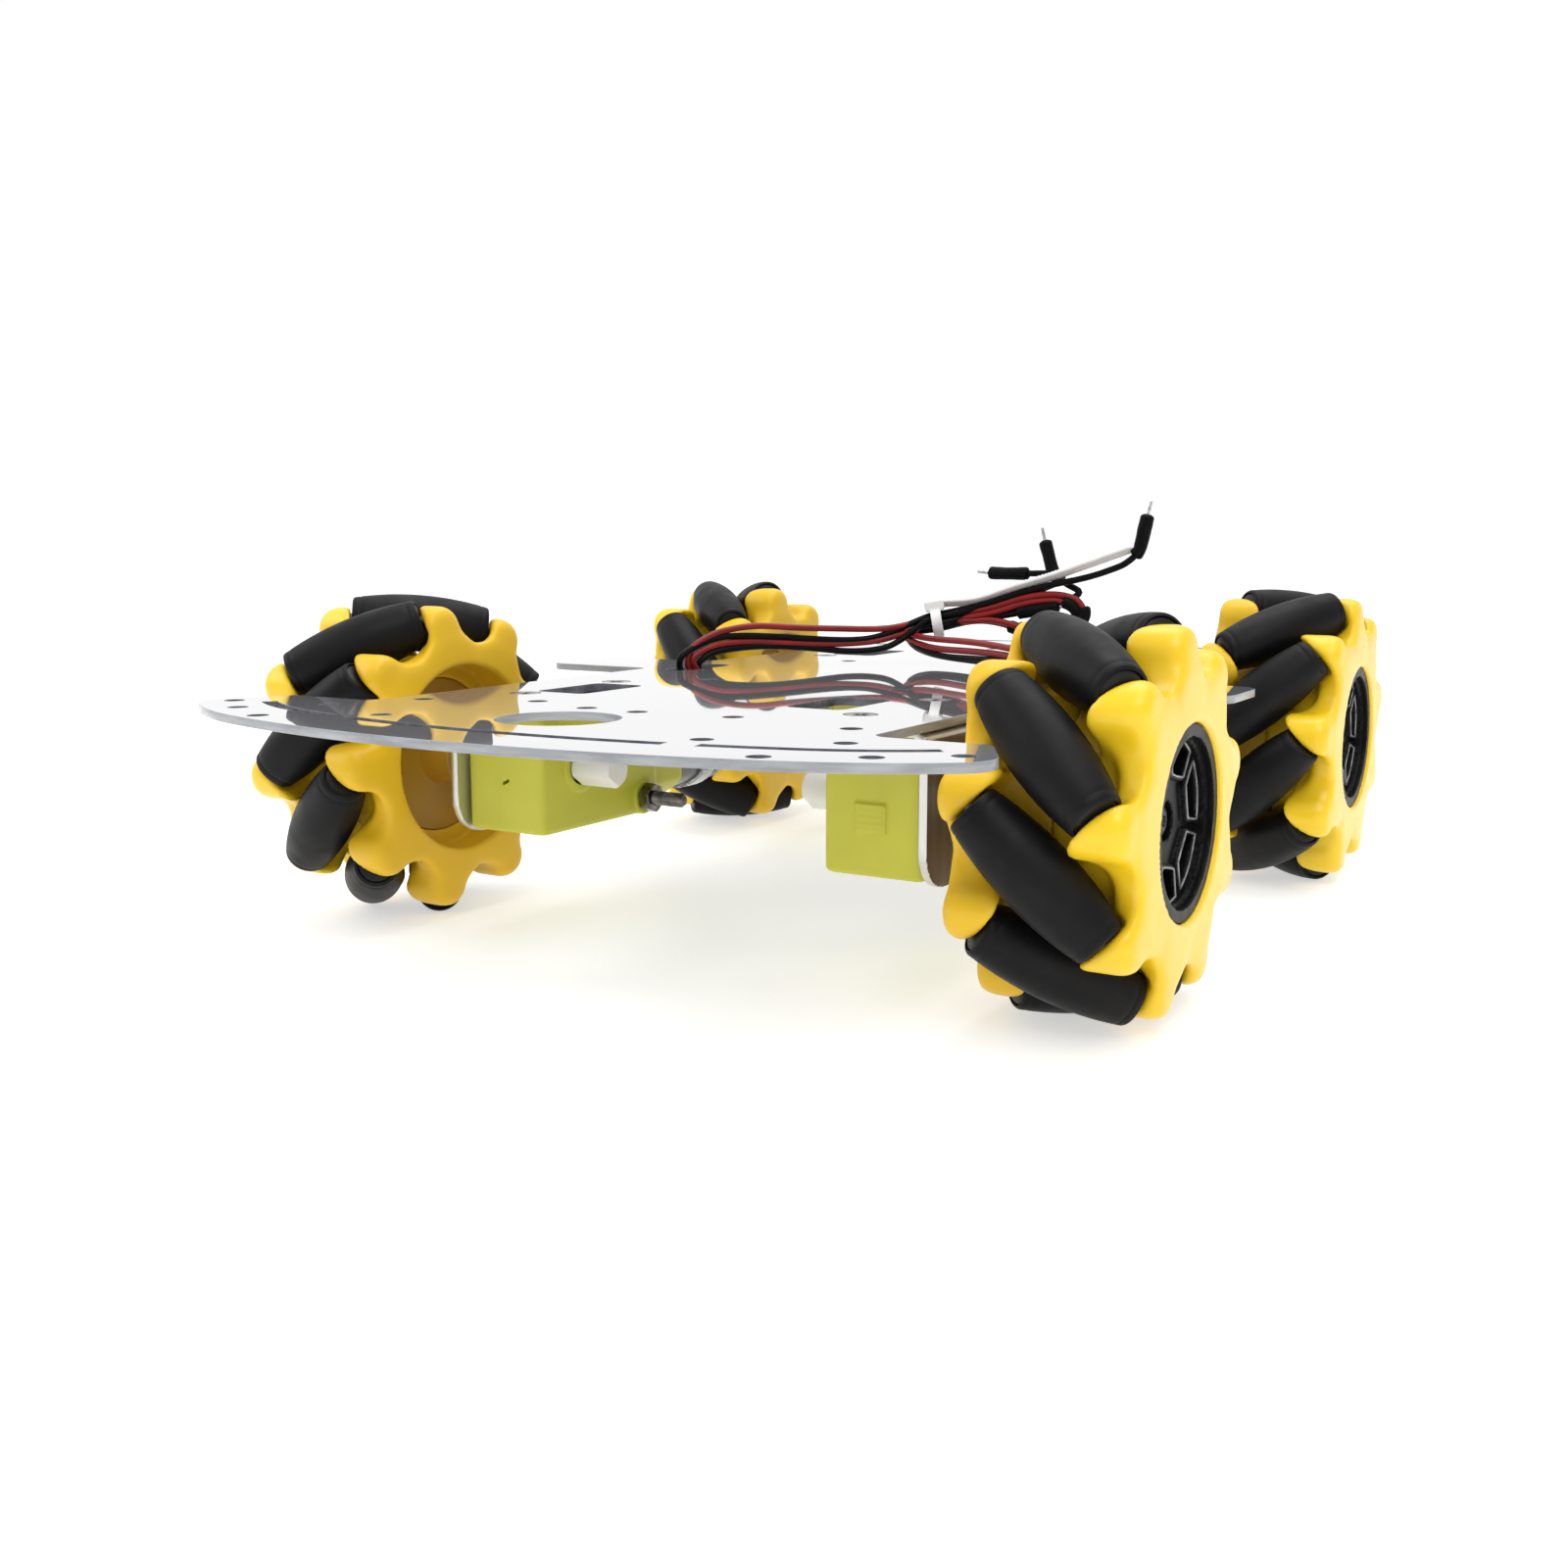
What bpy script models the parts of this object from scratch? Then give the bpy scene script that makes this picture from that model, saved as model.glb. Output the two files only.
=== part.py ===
"""Four-wheeled mecanum robot chassis: a clear deck on four geared motors, each turning a
wheel with nine free rollers at 45 degrees.

Frame: metres, +Z up, the floor at z = 0, the origin under the middle of the deck.
The robot's front is -Y and its left is +X. All the lengths below are in millimetres.
"""
import math

import bmesh
import bpy
from mathutils import Matrix, Vector

MM = 0.001

# ---- wheels -------------------------------------------------------------------------------
WHEEL_R = 32.5            # rolling radius
WHEEL_X = 74.3            # wheel mid-plane from the centre line
WHEEL_Y = 62.9            # axle from the middle of the deck
HALF_W = 15.3             # half the wheel's width
ROLLERS = 9
ROLLER_AXIS_R = 26.6      # wheel axis to roller axis
ROLLER_L = 27.5
ROLLER_BORE_R = 1.45
PIN_R = 1.0
LOBE_R = 5.0
LOBE_GAP = 0.6            # roller's end to the lobe
LOBE_AT = (23.0, 25.6)    # a lobe's centre: degrees from its roller's, and its radius
FRAME_BORE_R = 15.75
DRUM_R = 19.6             # between the two side rings
RING_R = 22.5
RING_X = 10.6             # where a side ring starts
HUB_R = 15.35
SHAFT_R = 2.7
SHAFT_END_X = 21.2        # inboard end of the output shaft, from the centre line

# ---- gearmotors ---------------------------------------------------------------------------
GEAR_X = (29.9, 49.0)     # inner and outer face
GEAR_Z = (20.4, 43.0)
GEAR_Y = (11.3, -25.7)    # ahead of and behind the axle (behind is negative)
MOTOR_R = 10.0
MOTOR_FLAT = 7.7
MOTOR_Y = (-26.0, -58.2)  # can's two ends, from the axle
BOLT_Y = -20.8
BOLT_Z = 8.75
BOLT_R = 1.5
BOLT_END_X = 20.8
NUT_R = 3.1

# ---- brackets -----------------------------------------------------------------------------
PLATE_X = (49.3, 50.8)
PLATE_TOP = 45.55
PLATE_BOTTOM = 19.3
FLANGE_Z = (44.35, 45.55)

# ---- deck ---------------------------------------------------------------------------------
DECK_Z = (45.85, 47.35)
FRONT_Y = 133.9           # from the middle of the deck to the middle of its front edge
EDGE_ARCS = ((193.0, 0.271), (67.5, 0.646), (6.5, 2.0))   # radius, heading at the end
SHOULDER = (71.6, -99.4)  # behind the tip, where the edge turns into the wheel's cut-out
SLOT_IN = 11.9            # from the edge to the middle of the slots that follow it
SLOT_W = 2.6
ROUND_HOLE = (-3.2, 102.4, 10.3)     # x, y, radius
PORT = (-3.4, 27.8, 58.0, 11.5, 20.0)     # mid x, half spacing, y, width, length
NOTCH_X = 50.9
NOTCH_Y = (-97.0, -11.5)
WING_X = 80.5
WIRE_SLOT = (42.5, 4.0, 7.0, 20.0)   # x, y, width, length

# ---- motor leads --------------------------------------------------------------------------
LEAD_R = 1.6              # four thin wires side by side
TIE_C = Vector((-2.0, 37.0, 57.0))

WHEELS = (
    # name, side, end, turn of the first roller, ends' lean
    ("front_left", 1, -1, 29.15, -1),
    ("front_right", -1, -1, 17.45, -1),
    ("rear_left", 1, 1, 22.74, 1),
    ("rear_right", -1, 1, 29.15, 1),
)

for old in list(bpy.data.objects):
    bpy.data.objects.remove(old, do_unlink=True)


def collection(name):
    made = bpy.data.collections.new(name)
    bpy.context.scene.collection.children.link(made)
    return made


ROBOT = collection("mecanum_robot")
CUTTERS = collection("cutters")


def material(name, colour, roughness, metallic=0.0):
    m = bpy.data.materials.new(name)
    m.use_nodes = True
    shader = m.node_tree.nodes["Principled BSDF"]
    shader.inputs["Base Color"].default_value = (*colour, 1.0)
    shader.inputs["Roughness"].default_value = roughness
    shader.inputs["Metallic"].default_value = metallic
    return m


ACRYLIC = material("clear_acrylic", (0.86, 0.89, 0.91), 0.06)
YELLOW = material("yellow_plastic", (0.98, 0.66, 0.03), 0.35)
RUBBER = material("roller_rubber", (0.035, 0.035, 0.038), 0.75)
BLACK = material("black_plastic", (0.02, 0.02, 0.022), 0.3)
GEARCASE = material("gearbox_plastic", (0.62, 0.64, 0.06), 0.35)
STEEL = material("motor_steel", (0.62, 0.63, 0.64), 0.3, 1.0)
SHEET = material("bracket_aluminium", (0.8, 0.8, 0.8), 0.35, 1.0)
WIRE = material("wire_insulation", (0.35, 0.02, 0.02), 0.4)
NYLON = material("tie_nylon", (0.85, 0.86, 0.85), 0.45)


def place(obj, coll, mat=None):
    coll.objects.link(obj)
    if mat is not None:
        obj.data.materials.append(mat)
    if coll is CUTTERS or coll.name.startswith("parts_of_"):
        obj.hide_render = True
        obj.display_type = "WIRE"
    return obj


def from_bm(name, bm, coll, mat=None, matrix=None):
    mesh = bpy.data.meshes.new(name)
    bm.to_mesh(mesh)
    bm.free()
    obj = place(bpy.data.objects.new(name, mesh), coll, mat)
    if matrix is not None:
        obj.matrix_world = matrix
    return obj


def frame_of(x, y, z, at):
    """A placing whose local axes are x, y, z, with its origin at a point in millimetres."""
    m = Matrix((x, y, z)).transposed().to_4x4()
    m.translation = Vector(at) * MM
    return m


def box(name, lo, hi, coll, mat=None, bevel=0.0):
    bm = bmesh.new()
    bmesh.ops.create_cube(bm, size=1.0)
    size = [(b - a) * MM for a, b in zip(lo, hi)]
    mid = [(a + b) / 2 * MM for a, b in zip(lo, hi)]
    for v in bm.verts:
        v.co = Vector([v.co[i] * size[i] for i in range(3)])
    obj = from_bm(name, bm, coll, mat, Matrix.Translation(mid))
    if bevel:
        mod = obj.modifiers.new("edges", "BEVEL")
        mod.width = bevel * MM
        mod.segments = 1
    return obj


def rod(name, radius, length, sides, matrix, coll, mat=None):
    """A cylinder along its local Z."""
    bm = bmesh.new()
    bmesh.ops.create_cone(bm, cap_ends=True, segments=sides, radius1=radius * MM,
                          radius2=radius * MM, depth=length * MM)
    return from_bm(name, bm, coll, mat, matrix)


def along_x(at, turn=0.0):
    """A placing whose local Z is world X."""
    c, s = math.cos(turn), math.sin(turn)
    return frame_of((0, c, s), (0, -s, c), (1, 0, 0), at)


def turned(name, profile, steps, matrix, coll, mat=None):
    """A closed outline (radius, height), listed down its outer side, turned about local Z."""
    bm = bmesh.new()
    verts = [bm.verts.new((r * MM, 0.0, z * MM)) for r, z in profile]
    for a, b in zip(verts, verts[1:] + verts[:1]):
        bm.edges.new((a, b))
    obj = from_bm(name, bm, coll, mat, matrix)
    mod = obj.modifiers.new("turn", "SCREW")
    mod.steps = mod.render_steps = steps
    mod.use_merge_vertices = True
    mod.merge_threshold = 1e-5
    mod.use_smooth_shade = False
    return obj


def combine(obj, others, operation="UNION"):
    mod = obj.modifiers.new(operation.lower(), "BOOLEAN")
    mod.operation = operation
    mod.solver = "EXACT"
    if isinstance(others, bpy.types.Collection):
        mod.operand_type = "COLLECTION"
        mod.collection = others
    else:
        mod.object = others
    return obj


def flat(name, outlines, thickness, matrix, coll, mat=None):
    """A flat plate from closed outlines, the first one outside and the rest its holes."""
    data = bpy.data.curves.new(name, "CURVE")
    data.dimensions = "2D"
    data.fill_mode = "BOTH"
    data.extrude = thickness / 2 * MM
    for points in outlines:
        spline = data.splines.new("POLY")
        spline.points.add(len(points) - 1)
        for p, (x, y) in zip(spline.points, points):
            p.co = (x * MM, y * MM, 0.0, 1.0)
        spline.use_cyclic_u = True
    obj = place(bpy.data.objects.new(name, data), coll, mat)
    obj.matrix_world = matrix
    return obj


def as_mesh(obj, coll):
    """The curve as a welded mesh object, in the curve's place."""
    bpy.context.view_layer.update()
    graph = bpy.context.evaluated_depsgraph_get()
    mesh = bpy.data.meshes.new_from_object(obj.evaluated_get(graph))
    bm = bmesh.new()
    bm.from_mesh(mesh)
    bmesh.ops.remove_doubles(bm, verts=bm.verts, dist=1e-6)
    bm.to_mesh(mesh)
    bm.free()
    name, matrix = obj.name, obj.matrix_world.copy()
    bpy.data.objects.remove(obj, do_unlink=True)
    made = place(bpy.data.objects.new(name, mesh), coll)
    made.name = name
    made.matrix_world = matrix
    return made


def arc(cx, cy, r, start, end, count):
    return [(cx + r * math.cos(math.radians(start + (end - start) * i / count)),
             cy + r * math.sin(math.radians(start + (end - start) * i / count)))
            for i in range(count + 1)]


def end_edge(inward, start, end, count):
    """Points of the front edge, moved inward, from one heading to another; 0 is its middle."""
    out = []
    for i in range(count + 1):
        want = start + (end - start) * i / count
        turn, x, y, before = abs(want), 0.0, -FRONT_Y, 0.0
        for r, limit in EDGE_ARCS:
            cx, cy = x - r * math.sin(before), y + r * math.cos(before)
            t = min(turn, limit)
            x, y = cx + r * math.sin(t), cy - r * math.cos(t)
            before = t
            if turn <= limit:
                break
        x, y = x - inward * math.sin(turn), y + inward * math.cos(turn)
        out.append((math.copysign(x, want), y))
    return out


def circle(cx, cy, r, count):
    return [(cx + r * math.cos(2 * math.pi * i / count), cy + r * math.sin(2 * math.pi * i / count))
            for i in range(count)]


def tube(name, points, radius, resolution, coll, mat):
    data = bpy.data.curves.new(name, "CURVE")
    data.dimensions = "3D"
    data.bevel_depth = radius * MM
    data.bevel_resolution = resolution
    data.use_fill_caps = True
    spline = data.splines.new("POLY")
    spline.points.add(len(points) - 1)
    for p, q in zip(spline.points, points):
        p.co = (q[0] * MM, q[1] * MM, q[2] * MM, 1.0)
    return place(bpy.data.objects.new(name, data), coll, mat)


def smooth_route(knots, spacing):
    """Points at an even spacing along a Catmull-Rom curve through the knots."""
    pts = [Vector(k) for k in knots]
    pts = [2 * pts[0] - pts[1]] + pts + [2 * pts[-1] - pts[-2]]
    fine = []
    for a, b, c, d in zip(pts, pts[1:], pts[2:], pts[3:]):
        ta = 0.0
        tb = ta + (b - a).length ** 0.5
        tc = tb + (c - b).length ** 0.5
        td = tc + (d - c).length ** 0.5
        for i in range(40):
            t = tb + (tc - tb) * i / 40
            ab = a * ((tb - t) / (tb - ta)) + b * ((t - ta) / (tb - ta))
            bc = b * ((tc - t) / (tc - tb)) + c * ((t - tb) / (tc - tb))
            cd = c * ((td - t) / (td - tc)) + d * ((t - tc) / (td - tc))
            abc = ab * ((tc - t) / (tc - ta)) + bc * ((t - ta) / (tc - ta))
            bcd = bc * ((td - t) / (td - tb)) + cd * ((t - tb) / (td - tb))
            fine.append(abc * ((tc - t) / (tc - tb)) + bcd * ((t - tb) / (tc - tb)))
    fine.append(pts[-2])
    length = sum((q - p).length for p, q in zip(fine, fine[1:]))
    count = max(2, round(length / spacing))
    out, want, gone = [fine[0]], length / count, 0.0
    for p, q in zip(fine, fine[1:]):
        step = (q - p).length
        while gone + step >= want * len(out) and len(out) < count:
            out.append(p.lerp(q, (want * len(out) - gone) / step))
        gone += step
    return out + [fine[-1]]


# ---- one wheel ----------------------------------------------------------------------------
def roller_radius(s):
    """The barrel profile that keeps the wheel's outline round at any angle."""
    return math.sqrt(WHEEL_R ** 2 - s * s / 2) - ROLLER_AXIS_R


def roller_frame(centre, side, lean, psi):
    """Centre of a roller, its outward direction and its axis; psi is 0 ahead and 90 on top."""
    out = Vector((0, -math.cos(psi), math.sin(psi)))
    along = Vector((0, math.sin(psi), math.cos(psi)))
    axis = (Vector((side, 0, 0)) + lean * along).normalized()
    return centre + out * ROLLER_AXIS_R, out, axis


rings = [i / 4 * ROLLER_L - ROLLER_L / 2 for i in range(5)]
roller_outline = [(roller_radius(s), s) for s in reversed(rings)]
roller_outline += [(ROLLER_BORE_R, -ROLLER_L / 2), (ROLLER_BORE_R, ROLLER_L / 2)]
roller_mesh = None


def wheel(name, side, end, first, lean):
    global roller_mesh
    centre = Vector((side * WHEEL_X, end * WHEEL_Y, WHEEL_R))

    parts = collection("parts_of_" + name)
    end_s = ROLLER_L / 2 + LOBE_GAP
    for i in range(ROLLERS):
        at, out, axis = roller_frame(centre, side, lean, math.radians(first + 360 / ROLLERS * i))
        third = axis.cross(out)
        # the roller, on its own axis
        roller = turned(f"{name}_roller_{i + 1}", roller_outline, 10,
                        frame_of(out, third, axis, at), ROBOT,
                        RUBBER if roller_mesh is None else None)
        if roller_mesh is None:
            roller_mesh = roller.data
        else:
            spare = roller.data
            roller.data = roller_mesh
            bpy.data.meshes.remove(spare)
        # its pin, and the lobe that holds each end of the pin
        rod(f"{name}_pin_{i}", PIN_R, 2 * end_s + 4, 5, frame_of(out, third, axis, at), parts)
        for sign in (-1, 1):
            # a lobe is a rounded post along the wheel's axis; its inner end is sloped to lie
            # flat against the roller's end, on the plane axis . p = end_s
            turn = math.radians(first + 360 / ROLLERS * i + sign * lean * LOBE_AT[0])
            post_out = Vector((0, -math.cos(turn), math.sin(turn)))
            outward = Vector((side * sign, 0, 0))
            at_post = centre + post_out * LOBE_AT[1]
            place_post = frame_of(post_out, outward.cross(post_out), outward, at_post)
            bm = bmesh.new()
            bmesh.ops.create_cone(bm, cap_ends=True, segments=10, radius1=LOBE_R * MM,
                                  radius2=LOBE_R * MM, depth=2 * MM)
            for v in bm.verts:
                if v.co.x < -1e-5:
                    v.co.x -= 3.4 * MM
                if v.co.z > 0:
                    v.co.z = HALF_W * MM
                else:
                    p = place_post @ Vector((v.co.x, v.co.y, 0)) / MM - at
                    v.co.z = (end_s - p.dot(axis * sign)) / outward.dot(axis * sign) * MM
                    v.co.z = min(v.co.z, (HALF_W - 0.3) * MM)
            from_bm(f"{name}_lobe_{i}_{sign}", bm, parts, None, place_post)

    frame = turned(f"{name}_wheel_frame",
                   [(FRAME_BORE_R, HALF_W), (RING_R, HALF_W), (RING_R, RING_X), (DRUM_R, RING_X),
                    (DRUM_R, -RING_X), (RING_R, -RING_X), (RING_R, -HALF_W),
                    (FRAME_BORE_R, -HALF_W)],
                   18, along_x(centre, 0.07), ROBOT, YELLOW)
    combine(frame, parts)

    # hub: a spoked centre on the gearbox's output shaft
    inner = collection("parts_of_" + name + "_hub")
    x0 = centre.x
    hub = turned(f"{name}_wheel_hub",
                 [(13.4, 5.2), (HUB_R, 5.2), (HUB_R, -5.2), (13.4, -5.2)],
                 16, along_x(centre + Vector((side * 8.6, 0, 0))), ROBOT, BLACK)
    for k in range(3):
        turn = math.radians(60 * k + 12)
        bm = bmesh.new()
        bmesh.ops.create_cube(bm, size=1.0)
        for v in bm.verts:
            v.co = Vector((v.co.x * 28.4, v.co.y * 3.0, v.co.z * 4.6)) * MM
        from_bm(f"{name}_spoke_{k}", bm, inner, None,
                along_x((x0 + side * 10.2, centre.y, centre.z), turn))
    lo, hi = sorted((x0 - side * 14.4, x0 + side * 11.6))
    rod(f"{name}_boss", 5.2, hi - lo, 10, along_x(((lo + hi) / 2, centre.y, centre.z)), inner)
    lo, hi = sorted((side * SHAFT_END_X, x0))
    rod(f"{name}_shaft", SHAFT_R, hi - lo, 8, along_x(((lo + hi) / 2, centre.y, centre.z)), inner)
    combine(hub, inner)


# ---- one drive unit -----------------------------------------------------------------------
def drive(name, side, end):
    """Gearbox, motor and bracket. Behind the axle means towards the middle of the robot."""
    axle_y = end * WHEEL_Y

    def y(ahead):
        return axle_y + end * ahead

    def span(x):
        return sorted((side * x[0], side * x[1]))

    gx, gy = span(GEAR_X), sorted((y(GEAR_Y[0]), y(GEAR_Y[1])))
    gear = box(f"{name}_gearbox", (gx[0], gy[0], GEAR_Z[0]), (gx[1], gy[1], GEAR_Z[1]), ROBOT,
               GEARCASE, bevel=1.0)
    mid = side * (GEAR_X[0] + GEAR_X[1]) / 2
    combine(gear, rod(f"{name}_shaft_hole", 3.3, 30, 10, along_x((mid, axle_y, WHEEL_R)), CUTTERS),
            "DIFFERENCE")
    for k, dz in enumerate((-BOLT_Z, BOLT_Z)):
        combine(gear, rod(f"{name}_bolt_hole_{k}", 2.15, 30, 6,
                          along_x((mid, y(BOLT_Y), WHEEL_R + dz)), CUTTERS), "DIFFERENCE")

    # motor: a can with two flats, then a narrower end cap
    my = sorted((y(MOTOR_Y[0]), y(MOTOR_Y[1])))
    flat_at = math.degrees(math.acos(MOTOR_FLAT / MOTOR_R))
    outline = arc(0, 0, MOTOR_R, flat_at, 180 - flat_at, 5) + \
        arc(0, 0, MOTOR_R, 180 + flat_at, 360 - flat_at, 5)
    can_len = abs(MOTOR_Y[1] - MOTOR_Y[0]) - 4.5
    toward = Vector((0, -end, 0))          # from the gearbox to the motor's far end
    up = Vector((0, 0, 1))
    right = up.cross(toward)
    start = Vector((mid, y(MOTOR_Y[0]), WHEEL_R))
    can = as_mesh(flat(f"{name}_motor", [outline], can_len,
                       frame_of(right, up, toward, start + toward * can_len / 2), ROBOT), ROBOT)
    can.data.materials.append(STEEL)
    cap = rod(f"{name}_motor_cap", 6.5, 6.0, 10,
              frame_of(right, up, toward, start + toward * (can_len + 1.5)), CUTTERS)
    combine(can, cap)

    # bracket: a bent sheet, with the two bolts and nuts that hold the gearbox on it
    front, back = GEAR_Y[0] + 2.8, BOLT_Y - 7.0
    outline = [(front, PLATE_TOP - 0.6), (back, PLATE_TOP - 0.6)]
    outline += arc(back + 4, PLATE_BOTTOM + 4, 4, 180, 270, 3)
    outline += arc(front - 7, PLATE_BOTTOM + 4, 4, 270, 360, 3)
    px = span(PLATE_X)
    local_x = Vector((0, end, 0))
    plate = as_mesh(flat(f"{name}_bracket", [outline, circle(0, WHEEL_R, 5.0, 12)],
                         PLATE_X[1] - PLATE_X[0],
                         frame_of(local_x, up, local_x.cross(up),
                                  (sum(px) / 2, axle_y, 0)), ROBOT), ROBOT)
    plate.data.materials.append(SHEET)
    group = collection("parts_of_" + name + "_bracket")
    fx = span((31.0, PLATE_X[1]))
    fy = sorted((y(GEAR_Y[0] + 1.5), y(BOLT_Y - 6)))
    box(f"{name}_flange", (fx[0], fy[0], FLANGE_Z[0]), (fx[1], fy[1], FLANGE_Z[1]), group)
    for k, dz in enumerate((-BOLT_Z, BOLT_Z)):
        for part, radius, sides, xs in (("shank", BOLT_R, 6, (BOLT_END_X, PLATE_X[1])),
                                        ("head", 2.8, 8, (PLATE_X[0] + 0.4, PLATE_X[1] + 1.8)),
                                        ("nut", NUT_R, 6, (27.5, GEAR_X[0] - 0.3))):
            xs = span(xs)
            rod(f"{name}_{part}_{k}", radius, xs[1] - xs[0], sides,
                along_x((sum(xs) / 2, y(BOLT_Y), WHEEL_R + dz)), group)
    combine(plate, group)


# ---- deck ---------------------------------------------------------------------------------
def deck():
    # a quarter of the outline, from the middle of the front edge to the side wing
    quarter = end_edge(0.0, 0.0, 2.0, 22)
    quarter += arc(SHOULDER[0] - 2.4, NOTCH_Y[0] - 2.4, 2.4, 25, 90, 3)
    quarter += arc(NOTCH_X + 3, NOTCH_Y[0] + 3, 3, 270, 180, 2)
    quarter += arc(NOTCH_X + 3, NOTCH_Y[1] - 3, 3, 180, 90, 2)
    quarter += arc(WING_X - 5, NOTCH_Y[1] + 5, 5, -90, 0, 3)
    rear = [(x, -y) for x, y in reversed(quarter)]
    right = quarter + rear
    outline = right + [(-x, y) for x, y in reversed(right)][1:-1]

    holes = []
    for s in (-1, 1):
        holes.append(circle(ROUND_HOLE[0], s * ROUND_HOLE[1], ROUND_HOLE[2], 20))
        # long curved slots that follow the end's edge
        for m, a, b in ((1, -0.185, 0.165), (1, 0.195, 0.60), (-1, 0.215, 0.60)):
            slot = end_edge(SLOT_IN - SLOT_W / 2, a, b, 7)
            slot += end_edge(SLOT_IN + SLOT_W / 2, a, b, 7)[::-1]
            holes.append([(m * x, -s * y) for x, y in slot])
        for m in (-1, 1):
            for x, y in ((72, 109.6), (62, 117.2), (48.7, 124.3), (51.9, 106.0), (44.3, 90.3),
                         (32, 113), (22, 30)):
                holes.append(circle(m * x, s * y, 1.75, 6))
            # a port beside each gearbox
            px, py = PORT[0] + m * PORT[1], s * PORT[2]
            w, h = PORT[3] / 2 - 2, PORT[4] / 2 - 2
            port = []
            for cx, cy, a in ((w, h, 0), (-w, h, 90), (-w, -h, 180), (w, -h, 270)):
                port += arc(px + cx, py + cy, 2, a, a + 90, 2)
            holes.append(port)
        for x, y in ((-24, 82.6), (-9.3, 87.2), (1.9, 87.8), (20, 86.1)):
            holes.append(circle(x, s * y, 1.75, 6))
    x, y, w, length = WIRE_SLOT
    for m in (-1, 1):
        c = y - 8
        holes.append(arc(m * x, c - length / 2 + w / 2, w / 2, 180, 360, 4)
                     + arc(m * x, c + length / 2 - w / 2, w / 2, 0, 180, 4))
    plate = flat("deck_plate", [outline] + holes, DECK_Z[1] - DECK_Z[0],
                 Matrix.Translation((0, 0, sum(DECK_Z) / 2 * MM)), ROBOT, ACRYLIC)
    return plate


# ---- motor leads and their tie ------------------------------------------------------------
def leads():
    left = [(40.5, 0.4, 36.5), (41.5, -0.6, 42.0), (42.8, -1.6, 48.0), (41.8, 1.5, 51.2),
            (35.0, 9.0, 51.2), (20.0, 22.0, 50.4), (6.0, 31.0, 50.1), (-3.0, 34.2, 50.4),
            (-9.6, 35.4, 52.4), (-8.0, 36.6, 54.6), (-2.0, 37.0, 55.2), (8.0, 40.0, 56.6),
            (15.5, 44.0, 59.4), (19.8, 46.8, 65.0), (21.0, 47.4, 72.0), (20.2, 47.5, 79.0)]
    right = [(-40.5, 0.4, 36.5), (-41.3, -2.0, 42.0), (-42.4, -6.0, 47.8), (-41.2, -4.0, 52.6),
             (-35.0, 4.0, 55.2), (-24.0, 16.0, 55.0), (-12.0, 28.0, 55.8), (-2.0, 37.0, 58.75),
             (10.0, 39.6, 61.6), (22.0, 41.6, 64.8), (34.0, 43.6, 69.0), (42.0, 44.8, 72.6),
             (44.8, 45.2, 77.0), (46.2, 45.2, 84.8)]
    tube("left_motor_leads", smooth_route(left, 4.0), LEAD_R, 2, ROBOT, WIRE)
    tube("right_motor_leads", smooth_route(right, 4.0), LEAD_R, 2, ROBOT, WIRE)

    # the tie: a band round both bundles, its head, and its long loose tail
    axis = Vector((1.0, 0.45, 0.28)).normalized()
    out = Vector((0, 0, 1)) - axis * axis.z
    out.normalize()
    band = turned("cable_tie", [(3.95, 1.2), (4.75, 1.2), (4.75, -1.2), (3.95, -1.2)], 14,
                  frame_of(out, axis.cross(out), axis, TIE_C), ROBOT, NYLON)
    group = collection("parts_of_tie")
    bm = bmesh.new()
    bmesh.ops.create_cube(bm, size=1.0)
    for v in bm.verts:
        v.co = Vector((v.co.x * 3.4, v.co.y * 4.4, v.co.z * 4.6)) * MM
    from_bm("tie_head", bm, group, None, frame_of(out, axis.cross(out), axis, TIE_C + out * 6.2))
    tail = [(-2.0, 37.0, 63.0), (3.0, 38.2, 64.2), (10.0, 39.6, 65.8), (22.0, 41.6, 69.0),
            (34.0, 43.4, 73.2), (41.0, 44.4, 76.6)]
    ribbon = tube("tie_tail", smooth_route(tail, 6.0), 0.95, 0, group, None)
    as_mesh(ribbon, group)
    combine(band, group)


deck()
for row in WHEELS:
    wheel(*row)
    drive(row[0], row[1], row[2])
leads()
bpy.context.view_layer.update()
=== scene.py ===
"""Looks for a four-wheeled mecanum robot chassis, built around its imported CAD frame.

Metres, +Z up, the floor at z = 0. Lengths in the shape code are millimetres. The robot's front
is -Y and its left is +X.
"""
import math

import bmesh
import bpy
import numpy as np
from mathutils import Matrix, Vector

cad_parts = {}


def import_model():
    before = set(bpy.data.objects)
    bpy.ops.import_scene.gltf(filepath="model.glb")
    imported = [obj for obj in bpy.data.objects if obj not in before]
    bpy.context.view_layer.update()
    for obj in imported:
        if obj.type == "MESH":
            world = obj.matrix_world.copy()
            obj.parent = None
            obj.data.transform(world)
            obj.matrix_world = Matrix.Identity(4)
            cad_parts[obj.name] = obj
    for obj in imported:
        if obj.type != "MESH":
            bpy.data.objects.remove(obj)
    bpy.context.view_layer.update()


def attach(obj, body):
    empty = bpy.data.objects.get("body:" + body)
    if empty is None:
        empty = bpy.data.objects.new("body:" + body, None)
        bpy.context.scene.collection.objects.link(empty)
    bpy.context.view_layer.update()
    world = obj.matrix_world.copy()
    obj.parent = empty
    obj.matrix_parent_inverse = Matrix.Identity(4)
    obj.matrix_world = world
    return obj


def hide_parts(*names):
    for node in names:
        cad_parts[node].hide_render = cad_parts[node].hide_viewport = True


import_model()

MM = 0.001
scene = bpy.context.scene
scene.view_settings.view_transform = "Standard"
scene.view_settings.look = "None"

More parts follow.
